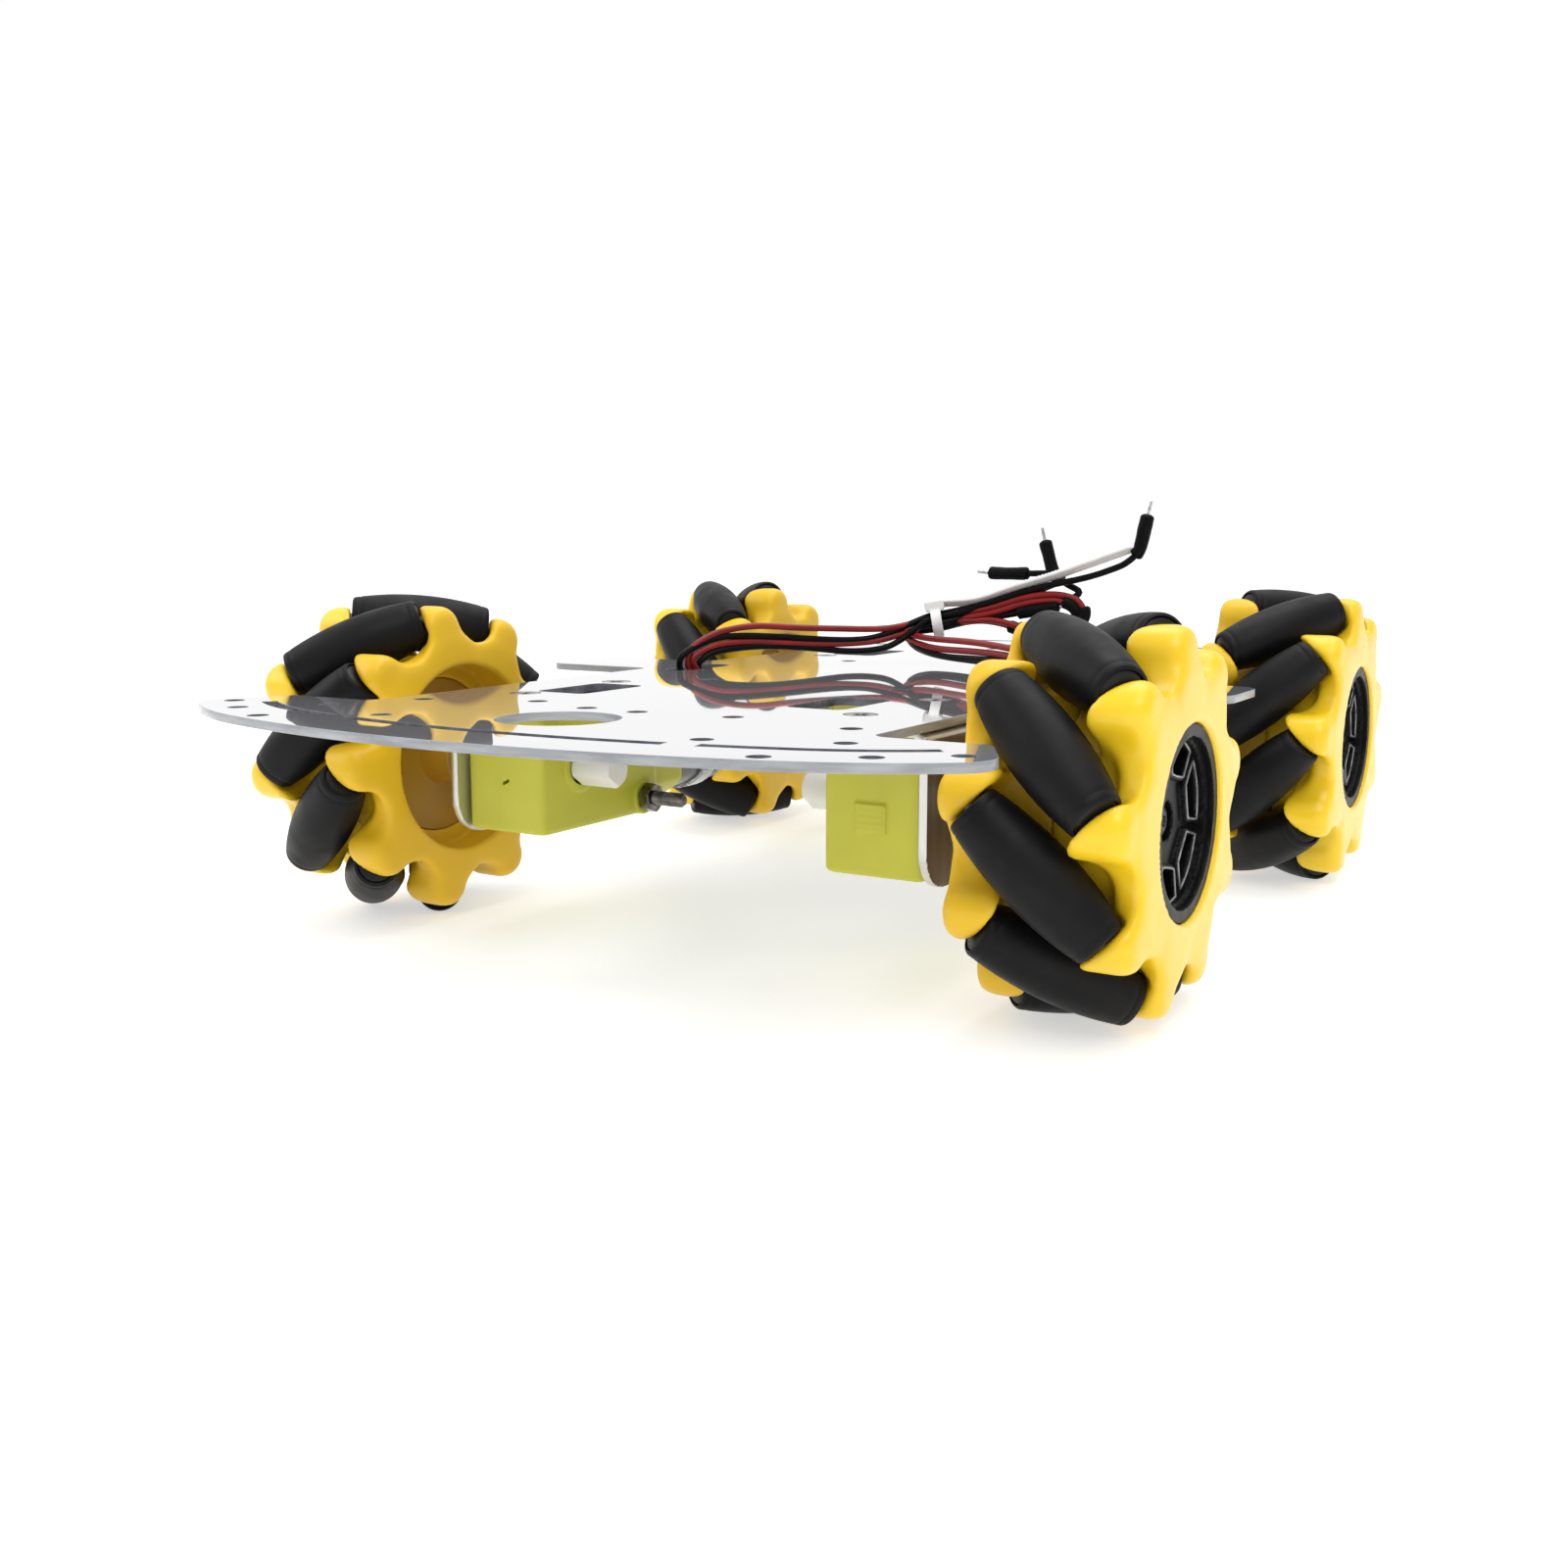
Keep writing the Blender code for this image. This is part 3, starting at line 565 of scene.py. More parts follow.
def wheel(name, side, end, first, lean):
    centre = np.array([side * WHEEL_X, end * WHEEL_Y, WHEEL_R])
    f = math.radians(first)

    def world(v, turn=f):
        x, c, s = v[:, 0], v[:, 1], v[:, 2] * lean
        return centre + np.stack([side * x, -(c * math.cos(turn) - s * math.sin(turn)),
                                  c * math.sin(turn) + s * math.cos(turn)], 1)

    body = f"{name}_wheel"
    outer = piece(f"{name}_outer_side_plate", world(outer_shape[0]), outer_shape[1], YELLOW,
                  body, replaces=(f"{name}_wheel_frame",))
    # the inner side plate gets the darker copy of the yellow: painted shade
    piece(f"{name}_inner_side_plate", world(inner_shape[0]), inner_shape[1], YELLOW_PAINTED_SHADE, body)
    turn = math.radians(12.0)
    v, fc = move(sleeve_shape, (0, 1, 0), (0, 0, 1), (1, 0, 0), (0, 0, 0))
    # the inner web is coloured brown: painted shade in the recess
    piece(f"{name}_inner_web", world(v), fc, YELLOW_WEB_PAINTED_SHADE, body, sharp=35)
    piece(f"{name}_spoked_hub", world(hub_shape[0], turn), hub_shape[1], HUB, body,
          sharp=38, replaces=(f"{name}_wheel_hub",))
    # the beads are pale grey: painted highlight
    piece(f"{name}_hub_window_beads_painted_highlight", world(bead_shape[0], turn), bead_shape[1], BEAD_PAINTED_HIGHLIGHT, body)
    v, fc = move(screw_shape, (0, 1, 0), (0, 0, 1), (1, 0, 0), (9.65, 0, 0))
    piece(f"{name}_hub_screw", world(v, turn), fc, SCREW, body, sharp=35)
    # output shaft, white nylon with two flats
    long = WHEEL_X - 21.2
    v, fc = rod([(3.0, -long), (3.55, -long + 0.7), (3.55, -long + 8.4), (2.7, -long + 8.5),
                 (2.7, -0.4), (2.4, 0.0)], 48, shaft_twist)
    v, fc = move((v, fc), (0, 1, 0), (0, 0, 1), (1, 0, 0), (1.2, 0, 0))
    v[:, 0] -= 1.2
    piece(f"{name}_output_shaft", world(v, math.radians(35.0)), fc, NYLON, body,
          sharp=35)
    pins = []
    for i in range(9):
        psi = math.radians(first + 40 * i)
        out = Vector((0, -math.cos(psi), math.sin(psi)))
        along = Vector((0, math.sin(psi), math.cos(psi)))
        axis = (Vector((side, 0, 0)) + lean * along).normalized()
        at = Vector(centre) + out * AXIS_R
        node = f"{name}_roller_{i + 1}"
        v, fc = move(tyre_shape, out, axis.cross(out), axis, at)
        piece(f"{node}_tyre", v, fc, RUBBER, node, sharp=42, replaces=(node,))
        v, fc = move(core_shape, out, axis.cross(out), axis, at)
        piece(f"{node}_core", v, fc, CORE, node, sharp=42)
        pins.append(move(pin_shape, out, axis.cross(out), axis, at))
    v, fc = join(pins)
    piece(f"{name}_roller_pins", v, fc, PIN, body, sharp=35)


# ---- drive unit ---------------------------------------------------------------------------
# shapes in (inboard-to-outboard X, ahead of the axle, Z)
def gear_field(a, b, z, pad):
    sides = smax(a - 49.0, 30.25 - a, 0.5)
    d = smax(sides, smax(b - 11.3, -25.7 - b, 0.5), 1.5)
    d = smax(d, smax(z - 43.0, 20.4 - z, 0.5), 1.3)
    if pad:                                    # a small ribbed pad on the end face
        block_ = np.maximum(np.abs(a - 39.35) - 2.9, np.abs(z - 30.5) - 2.45)
        rib = 0.12 * (np.mod(z, 1.1) < 0.45)
        d = smin(d, smax(block_, np.abs(b - 11.2) - 0.6 + rib, 0.3), 0.3)
    else:                                      # or a small slot there
        slit = np.maximum(np.abs(a - 39.4) - 0.85, np.abs(z - 30.3 + 0.45 * (a - 39.4)) - 0.3)
        d = np.maximum(d, -np.maximum(slit, 9.6 - b))
    # the mouth that holds the motor, round its can
    can = smax(np.hypot(a - 39.6, z - 32.5) - 11.0, np.abs(a - 39.6) - 8.75, 0.3)
    d = smin(d, smax(can, np.abs(b + 30.2) - 5.2, 0.4), 0.4)
    # bosses on the inboard face round the shaft and the bolts
    sr = np.hypot(b, z - 32.5)
    d = smin(d, np.maximum(sr - 4.7, np.abs(a - 30.9) - 1.0), 0.4)
    for dz in (-8.75, 8.75):
        br = np.hypot(b + 20.8, z - 32.5 - dz)
        d = smin(d, smax(np.maximum(br - 3.5, np.abs(a - 31.3) - 1.4), z - 42.98, 0.3), 0.4)
        d = np.maximum(d, 1.75 - br)
    d = np.maximum(d, -np.maximum(np.maximum(np.hypot(a - 39.6, z - 32.5) - 10.02,
                                             np.abs(a - 39.6) - 7.72), b + 26.0))
    return np.maximum(d, 3.3 - sr)


def outer_half_field(a, b, z, pad):
    """The two halves lap by a millimetre, each sinking under the other where they lap."""
    return smax(gear_field(a, b, z, pad) + 0.1 * np.clip((41.0 - a) / 0.5, 0.0, 1.0), 40.3 - a, 0.02)


def inner_half_field(a, b, z, pad):
    return smax(gear_field(a, b, z, pad) + 0.1 * np.clip((a - 41.4) / 0.5, 0.0, 1.0), a - 42.1, 0.02)


GEAR_HALVES = {}
for kind in (True, False):
    GEAR_HALVES[kind] = (
        solid_of(lambda a, b, z: outer_half_field(a, b, z, kind),
                 (40.2, -35.6, 20.2), (49.2, 12.3, 43.7), 0.40, polish=2),
        solid_of(lambda a, b, z: inner_half_field(a, b, z, kind),
                 (29.6, -35.6, 20.2), (42.2, 12.3, 43.7), 0.40, polish=2))


def can_field(a, b, z):
    r = np.hypot(a - 39.6, z - 32.5)
    d = smax(r - 10.0, np.abs(a - 39.6) - 7.7, 0.8)
    d = smax(d, np.abs(b + 39.85) - 13.85, 0.9)
    ring = np.abs(b + 50.6) - 0.3
    d = np.where(ring < 0, d + 0.25 * np.clip(-ring / 0.3, 0, 1), d)
    vent = np.maximum(np.abs(b + 35.0) - 2.4, np.abs(z - 32.5) - 1.2)
    return np.maximum(d, -np.maximum(vent, 7.2 - np.abs(a - 39.6)))


can_shape = solid_of(can_field, (31.5, -53.9, 22.3), (47.6, -25.8, 42.7), 0.6)


def cap_field(a, b, z):
    r = np.hypot(a - 39.6, z - 32.5)
    d = smax(r - 6.4, np.abs(b + 55.8) - 2.0, 0.8)
    d = smin(d, smax(r - 2.6, np.abs(b + 56.2) - 1.95, 0.5), 0.3)
    for da in (-4.2, 4.2):
        slot = np.maximum(np.abs(a - 39.6 - da) - 0.45, np.abs(z - 32.5) - 1.6)
        d = np.maximum(d, -np.maximum(slot, -57.0 - b - 0.0))
    return d


cap_shape = solid_of(cap_field, (33.0, -58.3, 25.9), (46.2, -53.7, 39.1), 0.38)


def strap_field(a, b, z):
    r = np.hypot(a - 39.6, z - 32.5)
    can = np.maximum(r - 10.0, np.abs(a - 39.6) - 7.7)
    d = np.maximum(np.abs(can - 0.5) - 0.32, np.abs(b + 46.0) - 2.4)
    arm = np.maximum(np.maximum(np.abs(np.abs(a - 39.6) - 9.1) - 0.32, np.abs(z - 32.5) - 2.6),
                     np.abs(b + 37.0) - 10.6)
    return smin(d, arm, 0.3)


strap_shape = solid_of(strap_field, (30.4, -48.6, 21.6), (48.8, -26.2, 43.5), 0.42)


def bracket_field(a, b, z):
    q = smax(z - 45.55, a - 50.8, 2.4)                     # outside of the bend
    inner = smax(z - 44.35, a - 49.3, 1.3)                 # inside of the bend
    d = smax(q, -inner, 0.15)
    low = smax(smax(b - 14.1, -27.8 - b, 0.2), 19.3 - z, 8.6)
    flange = smax(smax(b - 12.8, -26.8 - b, 0.2), 31.0 - a, 5.0)
    d = smax(d, np.where(a > 48.2, low, flange), 0.2)
    d = np.maximum(d, 31.0 - a)
    d = np.maximum(d, 5.0 - np.hypot(b, z - 32.5))
    for dz in (-8.75, 8.75):
        d = np.maximum(d, 1.62 - np.hypot(b + 20.8, z - 32.5 - dz))
    return d


bracket_shape = solid_of(bracket_field, (30.9, -27.9, 19.2), (50.9, 14.2, 45.6), 0.42, polish=3)


def thread(a, h, r):
    """A fine screw thread, 0.5 mm a turn, where the bolt is bare."""
    wave = np.abs(np.mod(h / 0.5 - a / (2 * math.pi), 1.0) - 0.5) * 2.0
    return np.where((r > 1.2) & (r < 1.6) & (h < 13.5), -0.24 * wave, 0.0)


_bolt = [(1.05, -1.5), (1.3, -1.2)] + [(1.5, z) for z in np.arange(-1.1, 9.2, 0.1)]
_bolt += [(1.5, 14.0), (1.5, 28.45), (2.7, 28.5), (2.8, 28.9), (2.6, 29.9), (1.9, 30.55),
          (1.2, 30.75), (0.9, 29.7)]
bolt_shape = rod(_bolt, 32, thread)


def nut_field(u, v, w):
    d = np.maximum(np.abs(v), np.abs(v) * 0.5 + np.abs(u) * math.sqrt(3) / 2) - 2.70
    r = np.hypot(u, v)
    d = smax(d, np.abs(w) - 1.2, 0.12)
    d = np.maximum(d, (r + np.abs(w) * 1.5 - 4.55) * 0.62)
    return np.maximum(d, 1.53 - r)


nut_shape = solid_of(nut_field, (-3.2, -3.2, -1.3), (3.2, 3.2, 1.3), 0.16)


def flat_head(u, v, w):
    """A countersunk screw, head up at w = 0, with a cross recess."""
    r = np.hypot(u, v)
    head = np.maximum(np.maximum(r - 2.8, w), r + (-w) * 1.0 - 3.05)
    head = np.maximum(head, -1.7 - w)
    shank = np.maximum(r - 1.45, np.maximum(w, -3.6 - w))
    d = np.minimum(head, shank)
    cross = np.minimum(np.maximum(np.abs(u) - 0.42, np.abs(v) - 1.55),
                       np.maximum(np.abs(v) - 0.42, np.abs(u) - 1.55))
    return np.maximum(d, -np.maximum(cross, -0.95 - w))


head_shape = solid_of(flat_head, (-2.9, -2.9, -4.0), (2.9, 2.9, 0.1), 0.2)
DECK_SCREWS = [(36.0, 9.0), (36.0, -19.5)]        # |X| and how far ahead of the axle


def drive(name, side, end):
    axle = end * WHEEL_Y

    def world(v):
        v = np.asarray(v)
        return np.stack([side * v[:, 0], axle + end * v[:, 1], v[:, 2]], 1)

    def put(label, shape, mat, sharp=None, replaces=()):
        return piece(f"{name}_{label}", world(shape[0]), shape[1], mat, "root", sharp,
                     replaces)

    outer_half, inner_half = GEAR_HALVES[side > 0]
    put("gearbox_outer_half", outer_half, GEARCASE, 48,
        (f"{name}_gearbox",))
    put("gearbox_inner_half", inner_half, GEARCASE, 48)
    # the can's darkened steel is painted shade
    put("motor_can", can_shape, CAN_PAINTED_SHADE, 50, (f"{name}_motor",))
    put("motor_end_cap", cap_shape, NYLON, 45)
    tabs = [block((39.6 + d - 0.9, -60.6, 32.1), (39.6 + d + 0.9, -57.6, 32.5), 0.12, 1)
            for d in (-4.2, 4.2)]
    put("motor_tabs", join(tabs), TIN, 35)
    put("motor_strap", strap_shape, STRAP, 45)
    sheet = put("motor_bracket", bracket_shape, SHEET, 42, (f"{name}_bracket",))
    sheet.data.materials.append(SHEET_PAINTED_REFLECTION)       # its tall outer side is dark brown: painted reflection of the wheel and painted shade
    for f in sheet.data.polygons:
        if side * f.normal.x > 0.9:
            f.material_index = 1
    bolts, nuts = [], []
    for dz, spin in ((-8.75, 0.35), (8.75, 0.9)):
        bolts.append(move(bolt_shape, (0, 1, 0), (0, 0, 1), (1, 0, 0), (20.8 + 1.05, -20.8,
                                                                      32.5 + dz)))
        c, s = math.cos(spin), math.sin(spin)
        nuts.append(move(nut_shape, (0, c, s), (0, -s, c), (1, 0, 0), (28.55, -20.8,
                                                                      32.5 + dz)))
    put("through_bolts", join(bolts), ZINC, 30)
    put("bolt_nuts", join(nuts), ZINC, 30)
    heads = []
    for k, (x, b) in enumerate(DECK_SCREWS):
        c, s = math.cos(0.4 + k), math.sin(0.4 + k)
        heads.append(move(head_shape, (c, s, 0), (-s, c, 0), (0, 0, 1), (x, b, 47.32)))
    put("deck_screws", join(heads), ZINC, 30)


for row in WHEELS:
    wheel(*row)
    drive(row[0], row[1], row[2])


# ---- deck ---------------------------------------------------------------------------------
def arc(cx, cy, r, start, end, count):
    return [(cx + r * math.cos(math.radians(start + (end - start) * i / count)),
             cy + r * math.sin(math.radians(start + (end - start) * i / count)))
            for i in range(count + 1)]


def circle(cx, cy, r, count):
    return [(cx + r * math.cos(2 * math.pi * i / count), cy + r * math.sin(2 * math.pi * i / count))
            for i in range(count)]


FRONT_Y = 133.9
EDGE_ARCS = ((193.0, 0.271), (67.5, 0.646), (6.5, 2.0))   # radius, heading at the end


def end_edge(inward, headings):
    """Points of the front edge, moved inward, at these headings; 0 is its middle."""
    out = []
    for want in headings:
        turn, x, y, before = abs(want), 0.0, -FRONT_Y, 0.0
        for r, limit in EDGE_ARCS:
            cx, cy = x - r * math.sin(before), y + r * math.cos(before)
            t = min(turn, limit)
            x, y = cx + r * math.sin(t), cy - r * math.cos(t)
            before = t
            if turn <= limit:
                break
        x, y = x - inward * math.sin(turn), y + inward * math.cos(turn)
        out.append((math.copysign(x, want), y))
    return out


def deck():
    headings = list(np.linspace(0.0, 0.271, 21)) + list(np.linspace(0.271, 0.646, 15))[1:]
    headings += list(np.linspace(0.646, 2.0, 19))[1:]
    quarter = end_edge(0.0, headings)
    quarter += arc(69.2, -99.4, 2.4, 25, 90, 8)
    quarter += arc(53.9, -94.0, 3, 270, 180, 8)
    quarter += arc(53.9, -14.5, 3, 180, 90, 8)
    quarter += arc(75.5, -6.5, 5, -90, 0, 10)
    rear = [(x, -y) for x, y in reversed(quarter)]
    right = quarter + rear
    outline = right + [(-x, y) for x, y in reversed(right)][1:-1]
    holes = []
    for s in (-1, 1):
        holes.append(circle(-3.2, s * 102.4, 10.3, 72))
        for m, a, b in ((1, -0.185, 0.165), (1, 0.195, 0.655), (-1, 0.215, 0.60)):
            h = np.linspace(a, b, 25)
            slot = end_edge(11.9 - 1.3, h)
            slot += end_edge(11.9 + 1.3, h)[::-1]
            holes.append([(m * x, -s * y) for x, y in slot])
        for m in (-1, 1):
            for x, y in ((72, 109.6), (62, 117.2), (48.7, 124.3), (51.9, 106.0), (44.3, 90.3),
                         (32, 113), (22, 30)):
                holes.append(circle(m * x, s * y, 1.75, 20))
            px, py, port = -3.4 + m * 27.8, s * 58.0, []
            for cx, cy, a in ((3.75, 8, 0), (-3.75, 8, 90), (-3.75, -8, 180), (3.75, -8, 270)):
                port += arc(px + cx, py + cy, 2, a, a + 90, 6)
            holes.append(port)
            for x, b in DECK_SCREWS:
                holes.append(circle(m * x, s * (WHEEL_Y + b), 2.92, 28))
        for x, y in ((-24, 82.6), (-9.3, 87.2), (1.9, 87.8), (20, 86.1)):
            holes.append(circle(x, s * y, 1.75, 20))
    for m in (-1, 1):
        c = -4.0
        holes.append(arc(m * 42.5, c - 6.5, 3.5, 180, 360, 12)
                     + arc(m * 42.5, c + 6.5, 3.5, 0, 180, 12))
    data = bpy.data.curves.new("deck_outline", "CURVE")
    data.dimensions = "2D"
    data.fill_mode = "BOTH"
    edge = 0.10
    data.extrude = (0.75 - edge) * MM
    data.bevel_depth = edge * MM
    data.bevel_resolution = 1
    data.offset = -edge * MM
    for points in [outline] + holes:
        spline = data.splines.new("POLY")
        spline.points.add(len(points) - 1)
        for p, (x, y) in zip(spline.points, points):
            p.co = (x * MM, y * MM, 0.0, 1.0)
        spline.use_cyclic_u = True
    tmp = bpy.data.objects.new("deck_tmp", data)
    scene.collection.objects.link(tmp)
    bpy.context.view_layer.update()
    mesh = bpy.data.meshes.new_from_object(
        tmp.evaluated_get(bpy.context.evaluated_depsgraph_get()))
    bpy.data.objects.remove(tmp, do_unlink=True)
    bm = bmesh.new()
    bm.from_mesh(mesh)
    bmesh.ops.remove_doubles(bm, verts=bm.verts, dist=1e-6)
    bmesh.ops.translate(bm, verts=bm.verts, vec=(0, 0, 46.6 * MM))
    bmesh.ops.recalc_face_normals(bm, faces=bm.faces)
    bm.to_mesh(mesh)
    bm.free()
    mesh.name = "deck_sheet"
    mesh.materials.clear()
    for mat in (ACRYLIC, EDGE, CUT_PAINTED_SHADE):
        mesh.materials.append(mat)
    # the outer edge is sawn and pale; the walls of holes and slots are dark: painted shade
    ring = np.array(outline)
    ring2 = np.roll(ring, -1, axis=0)
    mesh.shade_smooth()
    for f in mesh.polygons:
        if abs(f.normal.z) > 0.97:
            f.material_index = 0
            f.use_smooth = False
            continue
        c = np.array(f.center)[:2] / MM
        t = np.clip(((c - ring) * (ring2 - ring)).sum(1)
                    / np.maximum(((ring2 - ring) ** 2).sum(1), 1e-9), 0, 1)
        near = np.linalg.norm(ring + t[:, None] * (ring2 - ring) - c, axis=1).min()
        f.material_index = 1 if near < 0.5 else 2
        if f.material_index == 2 and math.hypot(c[0] + 3.2, abs(c[1]) - 102.4) < 11.5:
            f.material_index = 1
    mesh.set_sharp_from_angle(angle=math.radians(25))
    for f in mesh.polygons:
        if f.material_index == 0:
            f.use_smooth = False
    obj = link(bpy.data.objects.new("deck_sheet", mesh))
    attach(obj, "root")
    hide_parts("deck_plate")
    return obj


deck()


# ---- motor leads --------------------------------------------------------------------------
def smooth_route(knots, spacing):
    """Points at an even spacing along a centripetal Catmull-Rom curve through the knots."""
    pts = [np.array(k, float) for k in knots]
    pts = [2 * pts[0] - pts[1]] + pts + [2 * pts[-1] - pts[-2]]
    fine = []
    for a, b, c, d in zip(pts, pts[1:], pts[2:], pts[3:]):
        ta = 0.0
        tb = ta + math.sqrt(np.linalg.norm(b - a))
        tc = tb + math.sqrt(np.linalg.norm(c - b))
        td = tc + math.sqrt(np.linalg.norm(d - c))
        for i in range(40):
            t = tb + (tc - tb) * i / 40
            ab = a * ((tb - t) / (tb - ta)) + b * ((t - ta) / (tb - ta))
            bc = b * ((tc - t) / (tc - tb)) + c * ((t - tb) / (tc - tb))
            cd = c * ((td - t) / (td - tc)) + d * ((t - tc) / (td - tc))
            abc = ab * ((tc - t) / (tc - ta)) + bc * ((t - ta) / (tc - ta))
            bcd = bc * ((td - t) / (td - tb)) + cd * ((t - tb) / (td - tb))
            fine.append(abc * ((tc - t) / (tc - tb)) + bcd * ((t - tb) / (tc - tb)))
    fine = np.array(fine + [pts[-2]])
    # relax the line a little, so that the listed knots leave no kinks
    for _ in range(220):
        fine[1:-1] += 0.5 * (0.5 * (fine[:-2] + fine[2:]) - fine[1:-1])
    gone = np.concatenate([[0], np.cumsum(np.linalg.norm(np.diff(fine, axis=0), axis=1))])
    count = max(2, round(gone[-1] / spacing))
    at = np.linspace(0, gone[-1], count + 1)
    return np.stack([np.interp(at, gone, fine[:, k]) for k in range(3)], 1)


def frames_along(points):
    """Parallel-carried side vectors for a line of points."""
    t = np.gradient(points, axis=0)
    t /= np.linalg.norm(t, axis=1, keepdims=True)
    n = np.cross(t[0], (0.3, 0.2, 0.93))
    n /= np.linalg.norm(n)
    out = []
    for k in t:
        n = n - k * (n @ k)
        n /= np.linalg.norm(n)
        out.append(n)
    n = np.array(out)
    return t, n, np.cross(t, n)


def swept(points, radii, steps=16, bump_at=None):
    """A closed round tube through points, with its own radius at each."""
    t, n, b = frames_along(points)
    a = np.arange(steps) * 2 * math.pi / steps
    r = np.repeat(np.asarray(radii, float)[:, None], steps, 1)
    if bump_at is not None:
        r = r + bump_at(np.linspace(0, 1, len(points))[:, None], a[None, :])
    v = (points[:, None, :] + r[..., None] * (np.cos(a)[None, :, None] * n[:, None, :]
                                              + np.sin(a)[None, :, None] * b[:, None, :]))
    v = v.reshape(-1, 3)
    I, J = np.meshgrid(np.arange(len(points) - 1), np.arange(steps), indexing="ij")
    J2 = (J + 1) % steps
    f = np.stack([I * steps + J, I * steps + J2, (I + 1) * steps + J2, (I + 1) * steps + J], 2)
    base = len(v)
    v = np.concatenate([v, points[:1], points[-1:]])
    j = np.arange(steps)
    last = (len(points) - 1) * steps
    caps = np.concatenate([np.stack([np.full(steps, base), (j + 1) % steps, j], 1),
                           np.stack([np.full(steps, base + 1), last + j,
                                     last + (j + 1) % steps], 1)])
    return v, [f.reshape(-1, 4), caps]


TIE_AT = np.array((-2.0, 37.0, 56.9))
TIE_AXIS = np.array((1.0, 0.45, 0.20))
TIE_AXIS /= np.linalg.norm(TIE_AXIS)
TIE_UP = np.array((0, 0, 1.0)) - TIE_AXIS * TIE_AXIS[2]
TIE_UP /= np.linalg.norm(TIE_UP)
TIE_SIDE = np.cross(TIE_AXIS, TIE_UP)


def in_tie(place, along=0.0):
    """One of eight places in the bundle inside the tie: 7 round one in the middle."""
    p = TIE_AT + TIE_AXIS * along
    if place < 7:
        a = 2 * math.pi * place / 7
        p = p + 1.76 * (math.cos(a) * TIE_UP + math.sin(a) * TIE_SIDE)
    return tuple(p)


def lead(name, red, before, place, after, sleeve_len, replaces=()):
    """One motor lead: insulated wire, a heat-shrunk sleeve near its end, a bare tinned tip."""
    knots = before + [in_tie(place, -1.8), in_tie(place, 1.8)] + after
    fine = smooth_route(knots, 0.25)
    gone = np.concatenate([[0], np.cumsum(np.linalg.norm(np.diff(fine, axis=0), axis=1))])
    total = gone[-1]

    def part(a, b, step):
        n = max(2, int(round((b - a) / step)))
        at = np.linspace(a, b, n + 1)
        return np.stack([np.interp(at, gone, fine[:, k]) for k in range(3)], 1)

    wire_end = total - 3.6
    line = part(0.0, wire_end, wire_end / 36.0)
    tang = np.gradient(line, axis=0)
    data = bpy.data.curves.new(name, "CURVE")
    data.dimensions = "3D"
    data.bevel_depth = 0.75 * MM
    data.bevel_resolution = 4
    data.resolution_u = 5
    data.use_fill_caps = True
    spline = data.splines.new("BEZIER")
    spline.bezier_points.add(len(line) - 1)
    for p, q, t in zip(spline.bezier_points, line, tang):
        p.handle_left_type = p.handle_right_type = "FREE"
        p.co = Vector(q * MM)
        p.handle_left = Vector((q - t / 3.0) * MM)
        p.handle_right = Vector((q + t / 3.0) * MM)
    spline.use_smooth = True
    obj = link(bpy.data.objects.new(name, data), RED if red else BLACK_WIRE)
    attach(obj, "root")
    if replaces:
        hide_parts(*replaces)
    # sleeve
    s = part(wire_end - sleeve_len, wire_end + 0.6, 0.35)
    t = np.linspace(0, 1, len(s))
    seed = sum(ord(c) for c in name)
    r = 1.52 + 0.03 * np.sin(9 * t + seed)
    r[0], r[-1] = 0.95, 0.72
    r[1] = 1.46
    r[-2] = 1.36
    v, f = swept(s, r, 20, lambda u, a: 0.035 * np.sin(2 * a + 3 * u + seed)
                 + 0.012 * np.sin(23 * u + a))
    sleeve = piece(f"{name}_sleeve", v, f, SLEEVE, "root", sharp=50)
    # tip: seven tinned strands twisted together
    s = part(wire_end, total, 0.12)
    t = np.linspace(0, 1, len(s))
    r = 0.40 - 0.10 * t
    r[-1] = 0.14
    v, f = swept(s, r, 21, lambda u, a: 0.055 * np.cos(6 * a + 16 * u) - 0.02)
    tip = piece(f"{name}_tip", v, f, TIN, "root", sharp=60)
    return obj


lead("front_right_red_lead", True,
     [(-36.2, -2.4, 33.2), (-37.6, -1.6, 36.5), (-40.2, -3.6, 41.5), (-42.3, -7.0, 46.5),
      (-42.7, -8.6, 49.8), (-41.7, -6.8, 52.2), (-39.9, -4.0, 54.3), (-37.4, -0.2, 55.7),
      (-32.7, 5.8, 56.6), (-27.1, 12.2, 56.0), (-19.0, 20.9, 55.6), (-12.8, 26.7, 55.4),
      (-8.8, 30.6, 55.9)], 6,
     [(6.0, 38.6, 59.4), (11.2, 39.4, 60.6), (17.4, 40.2, 62.6), (23.2, 41.2, 63.7),
      (29.0, 42.2, 63.2), (31.6, 42.7, 61.5), (32.3, 42.8, 59.2), (31.0, 42.5, 56.6),
      (28.6, 42.2, 53.6), (25.4, 42.4, 51.0)], 9.0, ("right_motor_leads",))
lead("front_right_black_lead", False,
     [(-43.4, -2.4, 33.2), (-43.6, -1.8, 37.0), (-43.9, -4.8, 42.0), (-44.0, -9.0, 46.5),
      (-43.2, -10.6, 49.4), (-42.6, -8.8, 50.9), (-40.7, -5.3, 52.9), (-37.6, -0.5, 54.3),
      (-30.4, 8.3, 54.1), (-23.4, 16.4, 53.3), (-16.5, 23.2, 52.9), (-11.6, 27.9, 53.9)], 0,
     [(9.5, 38.9, 61.3), (17.4, 40.2, 64.0), (25.1, 41.5, 66.0), (32.6, 42.8, 67.6),
      (39.4, 43.9, 70.0), (42.8, 44.5, 72.0), (44.2, 44.7, 74.6), (44.9, 44.8, 78.1),
      (45.8, 44.9, 82.4), (46.3, 45.0, 84.6)], 9.2)
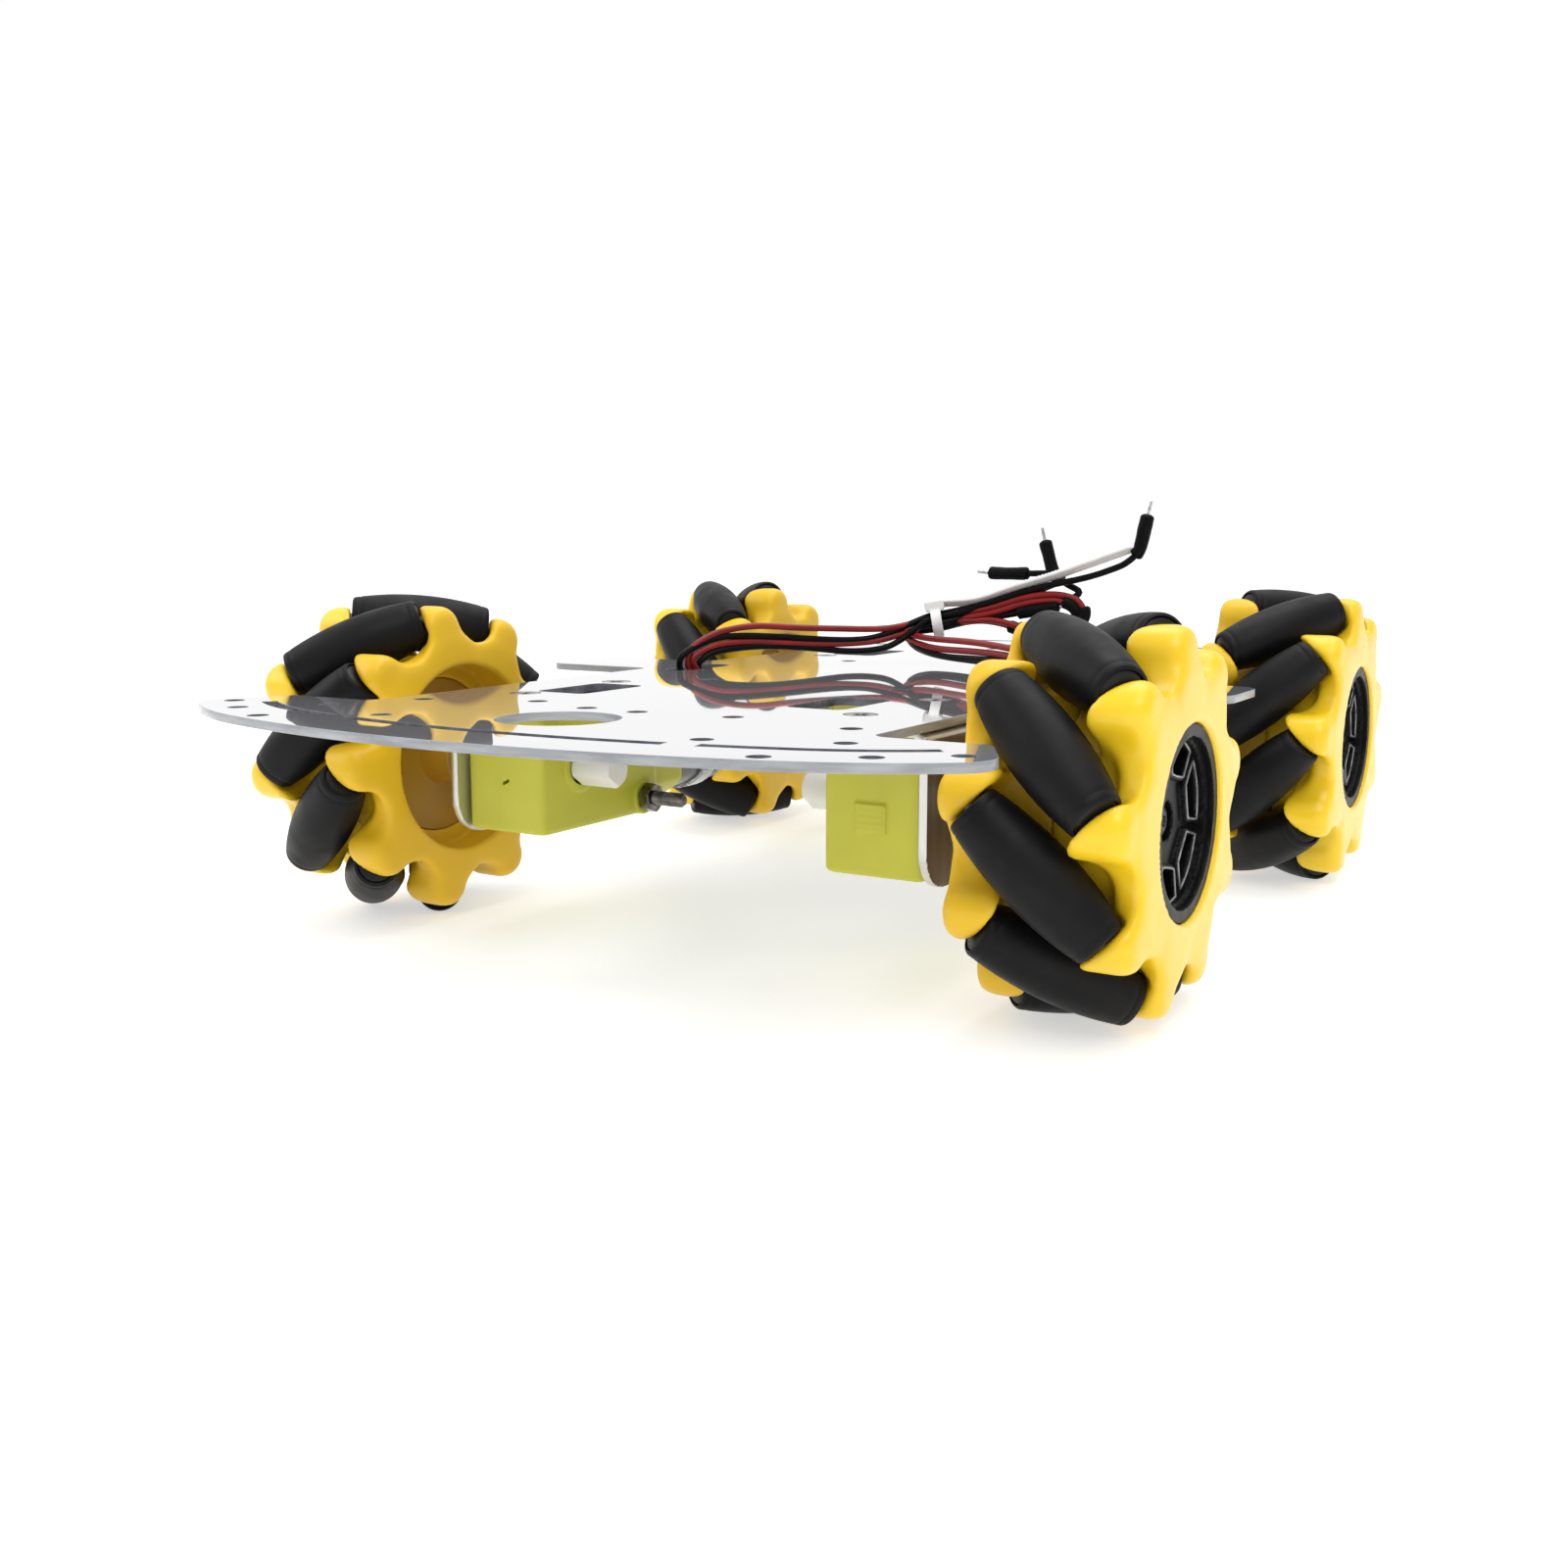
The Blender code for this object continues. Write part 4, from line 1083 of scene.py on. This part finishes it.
lead("rear_right_red_lead", True,
     [(-36.2, 2.4, 33.2), (-37.9, 1.4, 37.0), (-40.0, -1.8, 42.0), (-41.2, -6.4, 46.8),
      (-41.6, -7.8, 49.4), (-40.4, -5.4, 51.2), (-38.0, -1.6, 52.6), (-33.8, 4.5, 53.0),
      (-29.3, 9.6, 52.6), (-22.1, 17.9, 52.0), (-13.4, 26.2, 52.5), (-9.7, 29.7, 53.6)], 5,
     [(6.0, 38.0, 58.2), (11.2, 39.2, 59.2), (17.4, 40.2, 61.3), (23.2, 41.2, 62.3),
      (27.8, 42.0, 62.0), (30.0, 42.6, 60.6), (30.6, 43.2, 58.6), (29.4, 43.6, 55.8),
      (26.6, 44.0, 52.8)], 9.0)
lead("rear_right_black_lead", False,
     [(-43.4, 2.4, 33.2), (-43.3, 1.6, 37.0), (-42.6, -1.6, 42.0), (-41.6, -5.4, 46.4),
      (-40.6, -6.0, 49.2), (-38.6, -3.0, 50.8), (-33.9, 4.4, 51.8), (-29.3, 9.6, 51.8),
      (-23.4, 16.4, 51.1), (-18.9, 20.9, 50.4), (-14.3, 25.3, 50.4), (-9.7, 29.7, 51.6)], 1,
     [(8.2, 39.0, 60.6), (15.0, 40.6, 62.6), (21.0, 41.6, 64.4), (25.2, 43.0, 66.2),
      (26.4, 45.2, 67.6), (24.2, 46.9, 68.3), (18.0, 47.0, 68.3), (13.1, 47.0, 68.2),
      (7.6, 47.0, 68.3), (3.6, 47.0, 68.6)], 9.6)
lead("front_left_red_lead", True,
     [(36.2, -2.4, 33.2), (37.6, -1.8, 37.0), (40.6, -1.6, 42.5), (42.6, -0.8, 46.6),
      (41.6, 1.4, 49.8), (36.2, 6.0, 51.8), (27.2, 12.6, 53.0), (13.0, 22.2, 53.5),
      (2.5, 28.5, 53.4), (-4.4, 32.4, 53.6), (-8.4, 35.0, 54.6), (-8.0, 36.0, 56.2)], 4,
     [(5.9, 38.6, 57.2), (9.6, 39.2, 57.3), (13.6, 39.8, 56.7), (18.0, 40.4, 55.2),
      (22.6, 41.2, 52.8), (26.0, 42.0, 51.0)], 9.0, ("left_motor_leads",))
lead("front_left_black_lead", False,
     [(43.4, -2.4, 33.2), (43.8, -2.2, 38.0), (44.2, -2.6, 43.0), (44.0, -1.6, 47.2),
      (41.0, 2.0, 49.6), (34.7, 7.0, 50.0), (26.6, 13.0, 50.2), (13.1, 22.1, 49.8),
      (4.3, 27.4, 49.6), (-3.0, 31.9, 50.5), (-7.4, 34.2, 52.4), (-8.6, 35.2, 54.6)], 2,
     [(6.0, 39.6, 58.8), (11.0, 40.4, 59.6), (17.5, 41.2, 60.6), (23.3, 42.2, 61.4),
      (28.4, 43.0, 62.4), (30.8, 43.6, 64.0), (29.0, 43.9, 65.6), (26.0, 44.0, 66.4),
      (24.0, 44.0, 68.6), (22.8, 44.0, 72.5), (21.6, 44.0, 76.3), (21.0, 44.0, 78.9)], 9.0)
lead("rear_left_red_lead", True,
     [(36.2, 2.4, 33.2), (37.6, 1.8, 37.0), (40.2, 1.0, 42.5), (41.6, 1.6, 46.8),
      (40.0, 3.2, 49.2), (36.0, 6.0, 50.3), (26.6, 13.1, 51.4), (13.1, 22.2, 51.4),
      (1.3, 29.2, 51.2), (-5.2, 33.1, 52.0), (-9.2, 35.2, 53.0), (-9.6, 36.4, 55.0)], 7,
     [(6.0, 38.0, 57.2), (10.6, 38.2, 57.6), (16.0, 38.8, 56.8), (21.0, 39.4, 54.6),
      (25.4, 40.0, 52.0), (28.6, 40.8, 50.6)], 9.0)
lead("rear_left_black_lead", False,
     [(43.4, 2.4, 33.2), (43.8, 2.6, 38.0), (43.6, 2.6, 43.0), (43.0, 3.2, 47.4),
      (39.0, 6.0, 49.2), (32.0, 10.6, 49.2), (24.0, 15.6, 49.3), (13.0, 23.2, 49.3),
      (4.3, 28.6, 49.4), (-3.0, 33.1, 50.0), (-8.0, 35.8, 51.6), (-9.6, 37.0, 53.8)], 3,
     [(6.0, 38.8, 57.8), (11.0, 39.6, 58.2), (17.5, 40.4, 59.4), (23.3, 41.2, 60.5),
      (29.6, 42.2, 61.2)], 9.4)


# ---- cable tie ----------------------------------------------------------------------------
def tie():
    def world(v):
        v = np.asarray(v)
        return TIE_AT + v[:, :1] * TIE_UP + v[:, 1:2] * TIE_SIDE + v[:, 2:] * TIE_AXIS

    def band(u, v, w):
        r = np.hypot(u, v)
        d = smax(np.abs(r - 3.15) - 0.48, np.abs(w) - 1.2, 0.25)
        head = smax(smax(np.abs(u - 3.95) - 1.3, np.abs(v) - 2.2, 0.5), np.abs(w) - 2.3, 0.6)
        slot = np.maximum(np.abs(u - 4.15) - 0.62, np.abs(v) - 1.35)
        d = smin(d, head, 0.5)
        return np.maximum(d, -np.maximum(slot, -9.0 + 0 * w))

    v, f = solid_of(band, (-3.9, -3.9, -2.5), (6.6, 3.9, 2.5), 0.22)
    piece("cable_tie_band_and_head", world(v), f, TIE, "root", sharp=50,
          replaces=("cable_tie",))
    # the loose tail leaves the head's slot and runs up with the leads, ribbed underneath
    knots = [tuple(TIE_AT + TIE_UP * 4.15 - TIE_AXIS * 2.4),
             tuple(TIE_AT + TIE_UP * 4.2 + TIE_AXIS * 2.4),
             (6.7, 38.7, 61.9), (15.0, 39.8, 64.8), (25.0, 41.5, 67.9), (34.4, 43.1, 71.3),
             (44.4, 44.7, 75.0)]
    line = smooth_route(knots, 0.2)
    t = np.gradient(line, axis=0)
    t /= np.linalg.norm(t, axis=1, keepdims=True)
    flat = np.cross(t, np.array((0.3, -0.78, 0.5)))
    flat /= np.linalg.norm(flat, axis=1, keepdims=True)
    wide = np.cross(flat, t)
    long = np.linspace(0, 1, len(line))
    half_w = 1.42 * np.clip((1 - long) / 0.05, 0.35, 1.0)
    ridge = 0.5 - 0.12 * (np.mod(np.arange(len(line)), 4) < 2)
    section = [(-1, -0.55), (-0.86, -1), (0.86, -1), (1, -0.55), (1, 0.6), (0.86, 1), (-0.86, 1),
               (-1, 0.6)]
    v = np.stack([line + wide * (half_w * a)[:, None]
                  + flat * ((ridge if b < 0 else 0.5 + 0.0 * ridge) * b)[:, None] for a, b in section], 1)
    n, m = len(line), len(section)
    I, J = np.meshgrid(np.arange(n - 1), np.arange(m), indexing="ij")
    J2 = (J + 1) % m
    quads = np.stack([I * m + J, I * m + J2, (I + 1) * m + J2, (I + 1) * m + J], 2).reshape(-1, 4)
    caps = np.array([list(range(m))[::-1], [(n - 1) * m + j for j in range(m)]])
    piece("cable_tie_tail", v.reshape(-1, 3), [quads, caps], TIE, "root", sharp=35)


tie()

# ---- floor and light ----------------------------------------------------------------------
world = bpy.data.worlds.new("studio")
scene.world = world
world.use_nodes = True
tree = world.node_tree
back = tree.nodes["Background"]
back.inputs["Color"].default_value = (1.0, 1.0, 1.0, 1.0)
# a white wall beyond the robot, a slightly dimmer room elsewhere
where = tree.nodes.new("ShaderNodeTexCoord")
facing = tree.nodes.new("ShaderNodeVectorMath")
facing.operation = "DOT_PRODUCT"
facing.inputs[1].default_value = (-0.515, 0.857, 0.0)
tree.links.new(where.outputs["Generated"], facing.inputs[0])
level = tree.nodes.new("ShaderNodeMapRange")
level.inputs["From Min"].default_value = -0.35
level.inputs["From Max"].default_value = 0.72
level.inputs["To Min"].default_value = 0.62
level.inputs["To Max"].default_value = 1.03
tree.links.new(facing.outputs["Value"], level.inputs["Value"])
tree.links.new(level.outputs["Result"], back.inputs["Strength"])

floor_mesh = bpy.data.meshes.new("floor")
floor_mesh.from_pydata([(-4, -4, 0), (4, -4, 0), (4, 4, 0), (-4, 4, 0)], [], [(0, 1, 2, 3)])
floor_mat, floor_tree, floor_shader = new_material("pale_floor", (0.70, 0.70, 0.69), 0.6)
floor_shader.inputs["Specular IOR Level"].default_value = 0.2
floor_shader.inputs["Emission Color"].default_value = (1.0, 1.0, 0.985, 1.0)
floor_shader.inputs["Emission Strength"].default_value = 0.55
floor = link(bpy.data.objects.new("floor", floor_mesh), floor_mat)


def area(name, at, target, size, watts, colour=(1, 1, 1)):
    light = bpy.data.lights.new(name, "AREA")
    light.shape = "RECTANGLE"
    light.size, light.size_y = size
    light.energy = watts
    light.color = colour
    obj = bpy.data.objects.new(name, light)
    scene.collection.objects.link(obj)
    obj.location = Vector(at)
    obj.rotation_mode = "QUATERNION"
    obj.rotation_quaternion = (Vector(target) - Vector(at)).to_track_quat("-Z", "Y")
    return obj


area("key", (0.55, -0.75, 1.15), (0, 0, 0.03), (0.8, 0.8), 7.0)
area("fill", (-0.95, -0.55, 0.75), (0, 0, 0.03), (0.7, 0.7), 3.2)
area("top", (0.0, 0.25, 1.25), (0, 0, 0.03), (1.0, 1.0), 8.0)
